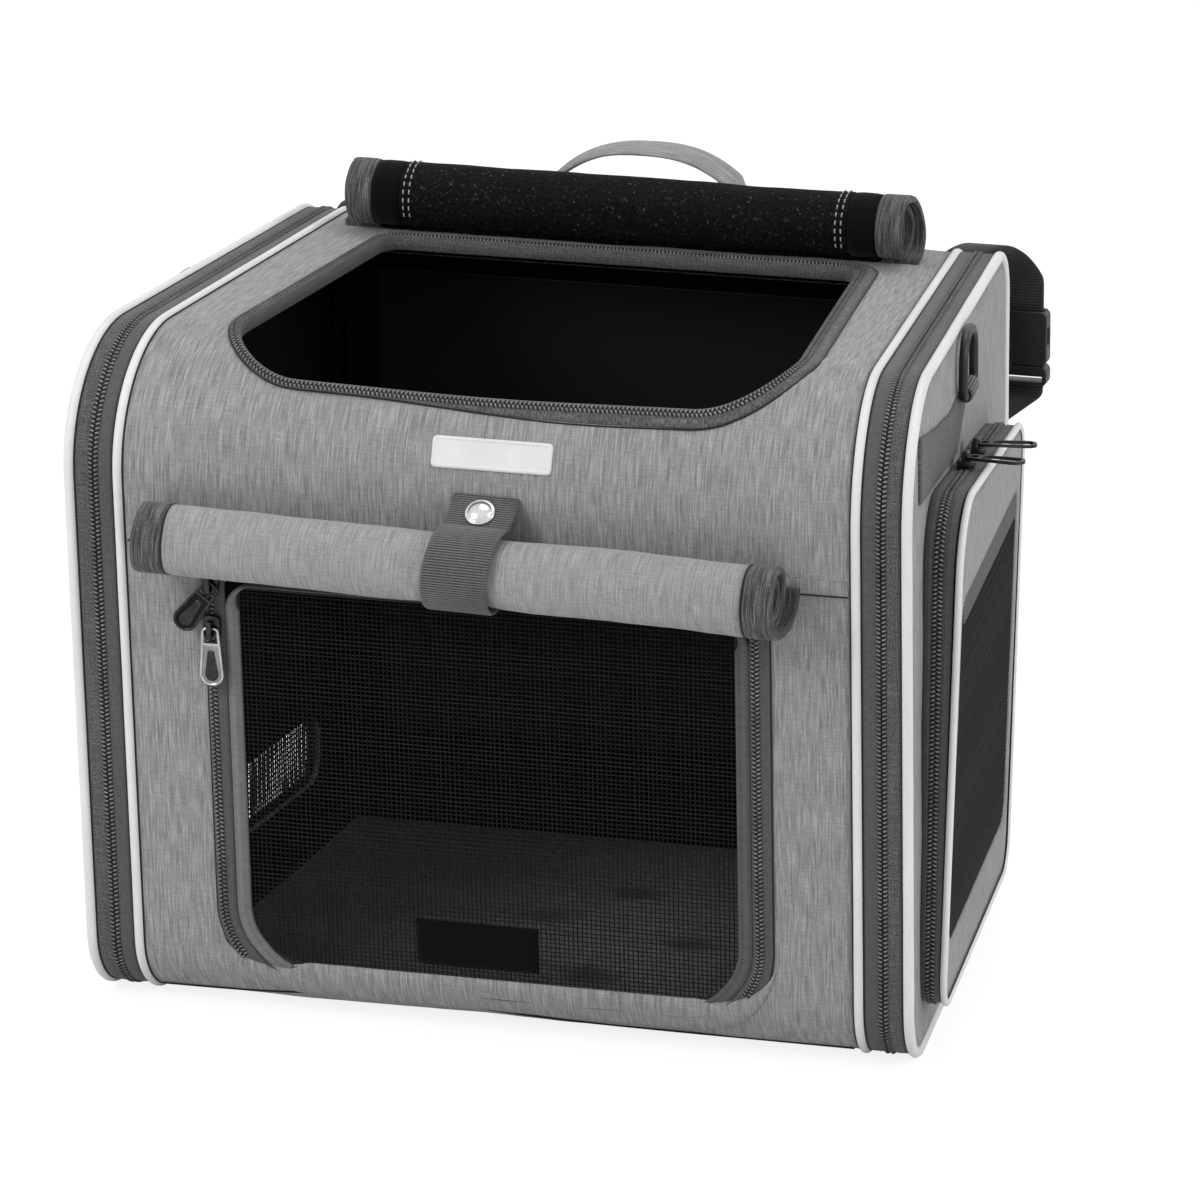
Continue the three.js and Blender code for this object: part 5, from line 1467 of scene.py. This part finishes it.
# Side panels
window_track = Track(rounded(box_corners(
    WINDOW_FRONT, WINDOW_REAR, WINDOW_FOOT, WINDOW_TOP, WINDOW_CORNER, WINDOW_CORNER,
), 8))
pocket_track = Track(rounded([
    (POCKET_FRONT, POCKET_FOOT, POCKET_FOOT_RADIUS), (POCKET_REAR, POCKET_FOOT, POCKET_FOOT_RADIUS),
    (POCKET_REAR, POCKET_TOP_REAR, POCKET_REAR_RADIUS), (POCKET_FRONT, POCKET_TOP_FRONT, POCKET_FRONT_RADIUS),
], 10))


def pocket_share(z):
    least = POCKET_FOOT_DEPTH / POCKET_DEPTH
    return least + (1 - least) * (np.asarray(z) - POCKET_FOOT) / (POCKET_TOP_FRONT - POCKET_FOOT)


def sides():
    outline = profile.outline(4.0, OUTER_PIPING - PIPING_RISE + GAP)
    for side, sign in SIDES:
        heather(f"side_cloth_{side}", side_surface(sign), outline, 5.0, SIDE_WALL, f"side_{side}",
                f"side_panel_{side}", relief=puffed(20 + sign, 0.5, 10),
                holes=[window_track.outline(3.0)] if side == "left" else [])
    surface = side_surface(-1)
    s = window_track.steps(2.0)
    half = WINDOW_BINDING / 2
    tape = [(-half, -0.2), (-half, 1.2), (-half + 1, 1.8), (half - 1, 1.8), (half, 1.2), (half, -0.2)]
    band("window_edge_tape", [DARK_SLUB], tape, frames_on(surface, window_track, s, 0.0, GAP), "side_left",
         "window_binding", closed=True)
    place, _, out = frames_on(surface, window_track, s, half - 1.4, GAP + 1.85)
    stitches("window_stitches", place, out, "side_left")
    net("window_net_threads", surface, window_track.outline(2.0, GAP), WINDOW_NET_PITCH,
        WINDOW_NET_THREAD, NET, "side_left", "window_net", lift=-0.5, seed=5)


def pocket_frames(s, base, depth):
    """Frames round the pocket, from base outwards by its own share of this depth"""
    point, normal = pocket_track.at(s)
    at = base + depth * pocket_share(point[:, 1])
    return joined(at * draw_in(point[:, 0]), *point.T), towards([1, 0, 0], s), joined(0, *normal.T)


def pocket_walls():
    body = "side_right"
    root = SIDE_FACE + GAP
    s = pocket_track.steps(3.0)
    wall = POCKET_DEPTH - POCKET_PIPING - GAP
    middle = (POCKET_DEPTH - POCKET_PIPING) / 2
    shape = np.array([
        (0, -POCKET_CLOTH), (0, 0.2), (middle - 3.4, 0.35), (middle - 2.4, -0.1), (middle + 2.4, -0.1),
        (middle + 3.4, 0.35), (wall, 0.2), (wall, -POCKET_CLOTH),
    ])
    sections = repeated(shape, s)
    sections[:, :, 0] *= pocket_share(pocket_track.at(s)[0][:, 1])[:, None]
    frames = pocket_frames(s, root, 0)
    band("pocket_gusset_tape", [SMOOTH_TAPE], sections, frames, body, "pocket_gusset", closed=True)

    def chain(count):
        return pocket_frames(np.linspace(0, pocket_track.length, count, endpoint=False), root, middle)

    coil("pocket_coil", chain, pocket_track.length, SIDE_TEETH_HALF, SIDE_TEETH_RISE, (body, body))
    frames = pocket_frames(s, root + POCKET_PIPING_PROUD, POCKET_DEPTH - POCKET_PIPING / 2)
    band("pocket_piping_cord", [REFLECTIVE], round_section(POCKET_PIPING / 2, 12), frames, body,
         "pocket_piping", slot="reflective_piping", closed=True)
    cord_line, across, out = frames
    # Dark lines on both sides of the pocket's piping: painted shade of the grooves at its seams
    for edge, shift, drop in (("in", -1, 0.9), ("out", 0.3, POCKET_PIPING / 2)):
        line = cord_line + across * shift * (POCKET_PIPING / 2 - 0.1) - out * drop
        seam(f"pocket_seam_{edge}", (line, across, out), body, True)


def pocket():
    body = "side_right"
    surface = side_surface(1, lambda z: GAP + POCKET_DEPTH * pocket_share(z))
    start, end = POCKET_FRONT + MESH_MARGIN, POCKET_REAR - MESH_MARGIN
    mesh_track, lower = (
        Track(rounded(box_corners(start, end, MESH_FOOT, top, MESH_CORNER, radius), 8))
        for top, radius in ((MESH_TOP, MESH_CORNER), (MESH_TOP - ELASTIC, 1))
    )
    heather("pocket_face_cloth", surface, pocket_track.outline(4.0, POCKET_PIPING / 2 + GAP), CLOTH_PITCH,
            POCKET_CLOTH, body, "pocket_face", relief=puffed(31, 0.9, 8, 0.8),
            holes=[mesh_track.outline(3.0)])
    net("pocket_net_threads", surface, lower.outline(2.0, GAP), POCKET_NET_PITCH, POCKET_NET_THREAD,
        SIDE_MESH, body, "pocket_mesh", lift=-POCKET_CLOTH / 2, seed=9)
    backing = panel("pocket_net_backing", surface, lower.outline(4.0, GAP), [], 4.0, 0.3, [SIDE_MESH],
                    lambda p, d, b: 0.7 * np.sin(p[:, 0] / 5.5 + p[:, 1] / 60) * np.clip(d / 10, 0, 1),
                    lift=-POCKET_CLOTH - 1.2)
    settle(backing, body, "black_mesh")
    y = np.linspace(start + 2, end - 2, 140)
    place, out = surface(joined(y, MESH_TOP - ELASTIC / 2))
    gather = np.array([noise.noise(Vector((v / 2.2, 4, 0))) for v in y])
    half = ELASTIC / 2
    ribs = [(shift, 0.5 if k % 2 else -0.1) for k, shift in enumerate(np.linspace(-half, half, 13))]
    sections = repeated(np.array([*ribs, (half, -1.3), (-half, -1.3)]), y)
    sections[:, :, 1] += (gather * 0.35)[:, None]
    band("pocket_elastic", [RIBBED], sections, (place, towards([0, 0, 1], y), out), body, slot="black_mesh")


# Ring straps and rings
def ring_straps():
    bore = RING_WIRE / 2 + LOOP_PLAY
    loop_outer = bore + WEBBING
    base = SIDE_FACE + GAP
    outline = Track(rounded([
        (STRAP_FRONT + (STRAP_REAR - STRAP_FRONT) * along, STRAP_FOOT + (STRAP_TOP - STRAP_FOOT) * up, 1.2)
        for along, up in STRAP_SHARES
    ], 3)).outline(3.0)
    centre_y = STRAP_REAR - LOOP_WIDTH / 2
    loop_x = base + loop_outer
    mid = bore + WEBBING / 2
    angles = np.linspace(0, 1.75 * math.pi, 40)
    tail = [[base + WEBBING / 2, RING_BAR_HEIGHT - 2 * loop_outer]]
    turn = joined(loop_x - mid * np.cos(angles), RING_BAR_HEIGHT + mid * np.sin(angles))
    path = np.concatenate([tail, turn])
    tangent = unit(np.gradient(path, axis=0))
    half = RING_WIDTH / 2
    ring_track = Track(rounded(box_corners(-half, half, 0, RING_HEIGHT, RING_CORNER, RING_ARCH), 12))
    s = ring_track.steps(1.5)
    point, normal = ring_track.at(s)
    along = centre_y + point[:, 0]
    shift = draw_in(centre_y)
    for side, sign in SIDES:
        body = f"side_{side}"
        strap = panel(f"ring_strap_cloth_{side}", side_surface(sign, GAP + WEBBING), outline, [], 3.0,
                      WEBBING, [GRAINED_TAPE], lambda p, d, b: waves(b, 41, 20, 0.35), soft_edge=0.4)
        settle(strap, body, "trim_webbing", f"ring_strap_{side}")
        origin = joined(sign * path[:, 0] * shift, centre_y, path[:, 1])
        leaning = unit(np.array([sign * loop_x * (draw_in(centre_y + 1) - shift), 1.0, 0.0]))
        frames = (origin, towards(leaning, path), unit(joined(-sign * tangent[:, 1], 0, tangent[:, 0])))
        band(f"ring_loop_{side}", [RIBBED], strap_section(LOOP_WIDTH, WEBBING), frames, body)
        place = joined(sign * loop_x * draw_in(along), along, RING_BAR_HEIGHT + point[:, 1])
        frames = (place, towards([1, 0, 0], s), joined(0, *normal.T))
        band(f"d_ring_wire_{side}", [PLASTIC], round_section(RING_WIRE / 2 + 0.2, 16), frames, f"ring_{side}",
             f"d_ring_{side}", slot="black_plastic", closed=True)


# Rear straps and buckles
def webbing_run(name, points, width, look, sign, thickness=WEBBING):
    """A strap that follows points (x, y, z), its width along X"""
    points = np.array(points, float)
    run = np.concatenate([[0], np.cumsum(np.linalg.norm(np.diff(points, axis=0), axis=1))])
    even = np.linspace(0, run[-1], max(int(run[-1] / 1.5), 8))
    points = joined(*(np.interp(even, run, column) for column in points.T))
    for _ in range(3):
        points[1:-1] = (points[:-2] + 2 * points[1:-1] + points[2:]) / 4
    tangent = unit(np.gradient(points, axis=0))
    across = towards([1, 0, 0], points)
    out = unit(np.cross(across, tangent))
    points[:, 0] *= sign
    return sweep(name, [look], strap_section(width, thickness), points, across, out)


def bar_straps():
    skin_gap = GAP + WEBBING / 2
    wrap = BAR_RADIUS + BAR_PLAY + WEBBING / 2
    bar_y = DEPTH / 2 + WEBBING + GAP + BAR_RADIUS + BAR_PLAY
    buckle_y = bar_y + wrap
    over = [(BAR_STRAP_PLACE, DEPTH / 2 + skin_gap, BAR_HEIGHT - STRAP_SEWN)]
    for share in np.linspace(0, 1, 25):
        angle = math.pi * (1 - share)
        over.append((BAR_STRAP_PLACE + (BUCKLE_PLACE - BAR_STRAP_PLACE) * share,
                     bar_y + wrap * math.cos(angle), BAR_HEIGHT + wrap * math.sin(angle)))
    over.append((BUCKLE_PLACE, buckle_y, BUCKLE_TOP - SLOT / 2))
    plug_foot = BUCKLE_TOP - BUCKLE_BODY - 2 * GAP - BUCKLE_BASE
    sewn = DEPTH / 2 + skin_gap
    under = [
        (BAR_STRAP_PLACE, sewn, LOWER_STRAP_FOOT), (BAR_STRAP_PLACE, sewn, LOWER_STRAP_FOOT + BAR_STRAP),
        (BUCKLE_PLACE, buckle_y, plug_foot - BUCKLE_BASE / 2), (BUCKLE_PLACE, buckle_y, plug_foot),
    ]
    for side, sign in SIDES:
        strap = webbing_run(f"bar_strap_webbing_{side}", over, BAR_STRAP, BLACK_WEBBING, sign)
        settle(strap, "root", "trim_webbing", f"bar_strap_{side}")
        lower = webbing_run(f"lower_strap_webbing_{side}", under, BAR_STRAP, BLACK_WEBBING, sign)
        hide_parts(f"lower_strap_{side}")
        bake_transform(lower)
        refined(f"buckle_socket_{side}", PLASTIC, 0.8, "black_plastic", "root", segments=3)
        refined(f"buckle_plug_{side}", PLASTIC, 0.6, "black_plastic", f"plug_{side}", segments=3)
        for row, foot in (("top", BAR_HEIGHT - STRAP_SEWN), ("foot", LOWER_STRAP_FOOT)):
            box = np.array([(-8, 2), (8, 2), (8, 16), (-8, 16), (-8, 2), (8, 16), (8, 2), (-8, 16)], float)
            x = sign * BAR_STRAP_PLACE + box[:, 0]
            place = joined(x, DEPTH / 2 + GAP + WEBBING + 0.1, foot + box[:, 1])
            stitches(f"bar_strap_box_{side}_{row}", place, towards([0, 1, 0], box), look=WHITE_THREAD)


# Sliders and pulls
def slab(name, polygon, low, high, matrix, look):
    """A flat plate with a sloping upper edge"""
    middle = polygon.mean(0)
    levels = [(1.0, low), (1.0, (low + high) / 2), (0.93, high)]
    verts = np.concatenate([
        joined(*(middle + (polygon - middle) * share).T, level) for share, level in levels
    ])
    size = len(polygon)
    faces = [range(size), range(2 * size, 3 * size), *ladder(0, size, 2)]
    return make(name, carried(matrix, verts), faces, verts[:, :2], [look], smooth=False)


def drop_track(neck, top, neck_share, half, foot, steps):
    """A drop that is narrow at its top and round at its foot"""
    return Track(rounded([
        (-neck, top, neck * neck_share), (-half, foot, half * 0.9),
        (half, foot, half * 0.9), (neck, top, neck * neck_share),
    ], steps))


def door_pull(name, height, turn, rim_look, plate_look, drop_look):
    """A long drop: a bright rim round a sunken plate, with an open eye round the slider's bridge"""
    slider = front_matrix @ moved(-DOOR_HALF + TAPE / 2, up_front(height), 2 * GAP + TRIM)
    matrix = slider @ moved(y=PULL_TURN_AT, tilt=turn) @ moved(y=-PULL_TURN_AT)
    drop = drop_track(PULL_HEAD, PULL_TOP, 0.6, PULL_TAIL, -PULL_LENGTH, 12)
    s = drop.steps(0.8)
    point, normal = drop.at(s, PULL_RIM)
    turned = matrix[:3, :3]
    place = carried(matrix, joined(*point.T, PULL_LEVEL))
    frames = (place, towards(turned[:, 2], s), joined(*normal.T, 0) @ turned.T)
    body = f"{name.removeprefix('door_pull_')}_pull"
    band(f"{name}_rim", [rim_look], round_section(PULL_RIM, 12), frames, body, name, slot="gunmetal",
         closed=True)
    inner = drop.outline(0.8, PULL_RIM)
    inner = inner[inner[:, 1] < -PULL_WAIST]
    plate = slab(f"{name}_plate", inner, PULL_LEVEL - 0.5, PULL_LEVEL + 0.1, matrix, plate_look)
    settle(plate, body, "gunmetal")
    inlay = drop_track(DROP_NECK, DROP_TOP, 0.8, DROP_HALF, DROP_FOOT, 10).outline(0.6)
    settle(slab(f"{name}_drop", inlay, PULL_LEVEL, PULL_LEVEL + 0.45, matrix, drop_look), body, "gunmetal")
    half = PULL_HEAD + (PULL_TAIL - PULL_HEAD) * PULL_WAIST / PULL_LENGTH - PULL_RIM
    strip = np.array([(-half, -0.6), (half, -0.6), (half, 0.6), (-half, 0.6)]) - [0, PULL_WAIST]
    waist = slab(f"{name}_waist", strip, PULL_LEVEL - 0.4, PULL_LEVEL + 0.6, matrix, rim_look)
    settle(waist, body, "gunmetal")


def sliders():
    upper = FRONT_ROLL_HEIGHT - FRONT_ROLL / 2 - SLIDER_UNDER_ROLL
    for name, height, turn, *looks in (
        ("lower", upper - SLIDER_STEP, 0, BRIGHT_METAL, BRUSHED, GUNMETAL),
        ("upper", upper, UPPER_PULL_TURN, GUNMETAL, DARK_METAL, GUNMETAL),
    ):
        refined(f"door_slider_{name}", GUNMETAL, 0.5, "gunmetal", f"{name}_slider", segments=3)
        door_pull(f"door_pull_{name}", height, turn, *looks)
    for name in ("front", "rear"):
        refined(f"pocket_slider_{name}", GUNMETAL, 0.3, "gunmetal", f"pocket_slider_{name}", segments=2)


# Inside
def inside():
    refined("bottom_board", BOARD_COVER, 0.5, "stiffener_board", "root")
    refined("back_board", BOARD_COVER, 0.5, "stiffener_board", "root")
    for side, _ in SIDES:
        refined(f"frame_hoop_{side}", LINING, 0, "spring_wire", "root", smooth_angle=50)
    low, high = (np.array(corner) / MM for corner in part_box("floor_mat"))
    centre, half = (low + high) / 2, (high - low) / 2
    count = 70
    line = np.linspace(-1, 1, count)
    u, v = (grid.ravel() for grid in np.meshgrid(line, line, indexing="ij"))
    x = u * (half[0] - MAT_SOFT_SIDE * (1 - v ** 2)) * draw_in(v * half[1] + centre[1]) / draw_in(low[1])
    y = centre[1] + v * (half[1] - MAT_SOFT_SIDE * (1 - u ** 2))
    edge = np.clip((1 - u ** 8) * (1 - v ** 8), 0, 1) ** 0.5
    top = low[2] + MAT_HEIGHT - MAT_CROWN + MAT_CROWN * (1 - u ** 4) * (1 - v ** 4)
    dents = sum(
        np.exp(-(((x - a) / MAT_MARK_LENGTH) ** 2 + ((y - b) / MAT_MARK_WIDTH) ** 2)) for a, b in MAT_MARKS
    )
    plush = waves(joined(x, y, 0), 51, 26, 1.2)
    upper = joined(x, y, low[2] + 3 + (top - low[2] - 3) * edge - MAT_MARK_DEPTH * dents + plush * edge - 1)
    verts = np.concatenate([upper, joined(x, y, low[2] + 0.3)])
    index = np.arange(count * count).reshape(count, count)
    quads = np.stack([index[:-1, :-1], index[1:, :-1], index[1:, 1:], index[:-1, 1:]], -1).reshape(-1, 4)
    ring = [*index[0, :], *index[1:, -1], *index[-1, -2::-1], *index[-2:0:-1, 0]]
    below = count * count
    faces = quads.tolist() + (quads[:, ::-1] + below).tolist()
    faces += [(a, b, below + b, below + a) for a, b in zip(ring, [*ring[1:], ring[0]])]
    mat = make("floor_pad", verts, faces, verts[:, :2], [MAT])
    settle(mat, "root", "mat_fleece", "floor_mat")


# Camera and floor
PHOTO_FOCAL_MM = 257.74
SENSOR_MM = 36
CAMERA_AZIMUTH = 16.131
CAMERA_ELEVATION = 17.606
CAMERA_ROLL = -0.357
CAMERA_PLACE = (1079.74, -3689.21, 1395.18)
FLOOR_REACH = 12000
FLOOR_DROP = 0.4

# Light
FLOOR_GLOW = 1.25
FLOOR_GLOW_SHARE = 0.7
AMBIENT = 0.48


def camera():
    azimuth, elevation, roll = (math.radians(a) for a in (CAMERA_AZIMUTH, CAMERA_ELEVATION, CAMERA_ROLL))
    back = Vector((
        math.sin(azimuth) * math.cos(elevation),
        -math.cos(azimuth) * math.cos(elevation),
        math.sin(elevation),
    ))
    right = Vector((math.cos(azimuth), math.sin(azimuth), 0))
    up = back.cross(right)
    tilted_right = right * math.cos(roll) + up * math.sin(roll)
    tilted_up = up * math.cos(roll) - right * math.sin(roll)
    data = bpy.data.cameras.new("view")
    data.lens = PHOTO_FOCAL_MM
    data.sensor_width = SENSOR_MM
    data.clip_end = 50
    view = placed("view", data)
    place = Matrix((tilted_right, tilted_up, back)).transposed().to_4x4()
    place.translation = Vector(CAMERA_PLACE) * MM
    view.matrix_world = place
    bpy.context.scene.camera = view


def lamp(name, place, aim, size, power):
    data = bpy.data.lights.new(name, "AREA")
    data.shape = "DISK"
    data.size = size
    data.energy = power
    light = placed(name, data)
    light.location = place
    light.rotation_euler = (Vector(aim) - Vector(place)).to_track_quat("-Z", "Y").to_euler()


def stage():
    look = Look("floor", 0.95)
    look.shader.inputs["Base Color"].default_value = grey(240)
    seen = look.node("LightPath", {}).outputs
    glow = look.node("Emission", {"Color": grey(252), "Strength": FLOOR_GLOW})
    share = look.node("Math", {0: seen["Is Camera Ray"], 1: FLOOR_GLOW_SHARE}, operation="MULTIPLY")
    mix = look.node("MixShader", {0: share.outputs[0], 1: look.shader.outputs[0], 2: glow.outputs[0]})
    look.tree.links.new(mix.outputs[0], look.tree.nodes["Material Output"].inputs["Surface"])
    half = FLOOR_REACH * MM
    corners = [(-half, -half, 0), (half, -half, 0), (half, half, 0), (-half, half, 0)]
    mesh = bpy.data.meshes.new("floor")
    mesh.from_pydata(corners, [], [range(4)])
    mesh.materials.append(look.material)
    floor = placed("floor", mesh)
    floor.location.z = -FLOOR_DROP * MM

    world = bpy.data.worlds.new("studio")
    bpy.context.scene.world = world
    world.use_nodes = True
    tree = world.node_tree
    ambient = tree.nodes["Background"]
    ambient.inputs["Color"].default_value = (1, 1, 1, 1)
    ambient.inputs["Strength"].default_value = AMBIENT
    white = add_node(tree, "Background", {"Color": (1, 1, 1, 1), "Strength": 1})
    seen = add_node(tree, "LightPath", {}).outputs
    shown = seen["Is Camera Ray"]
    for ray in ("Is Glossy Ray", "Is Transmission Ray"):
        shown = add_node(tree, "Math", {0: shown, 1: seen[ray]}, operation="MAXIMUM").outputs[0]
    mix = add_node(tree, "MixShader", {0: shown, 1: ambient.outputs[0], 2: white.outputs[0]})
    tree.links.new(mix.outputs[0], tree.nodes["World Output"].inputs["Surface"])

    lamp("key", (-0.95, -1.25, 1.15), (-0.05, 0, 0.18), 0.9, 11)
    lamp("side", (2.4, -0.5, 1.3), (0, 0, 0.15), 1.6, 18)
    lamp("top", (0.2, 0.6, 2.6), (0, 0, 0.2), 1.6, 15)
    bpy.context.scene.view_settings.view_transform = "Standard"


camera()
centre_cloth()
seam_across()
foot_seam()
bands()
door_zip()
door()
top_opening()
front_roll()
flap_strap()
plate()
top_roll()
handle()
sides()
pocket_walls()
pocket()
ring_straps()
bar_straps()
sliders()
inside()
stage()
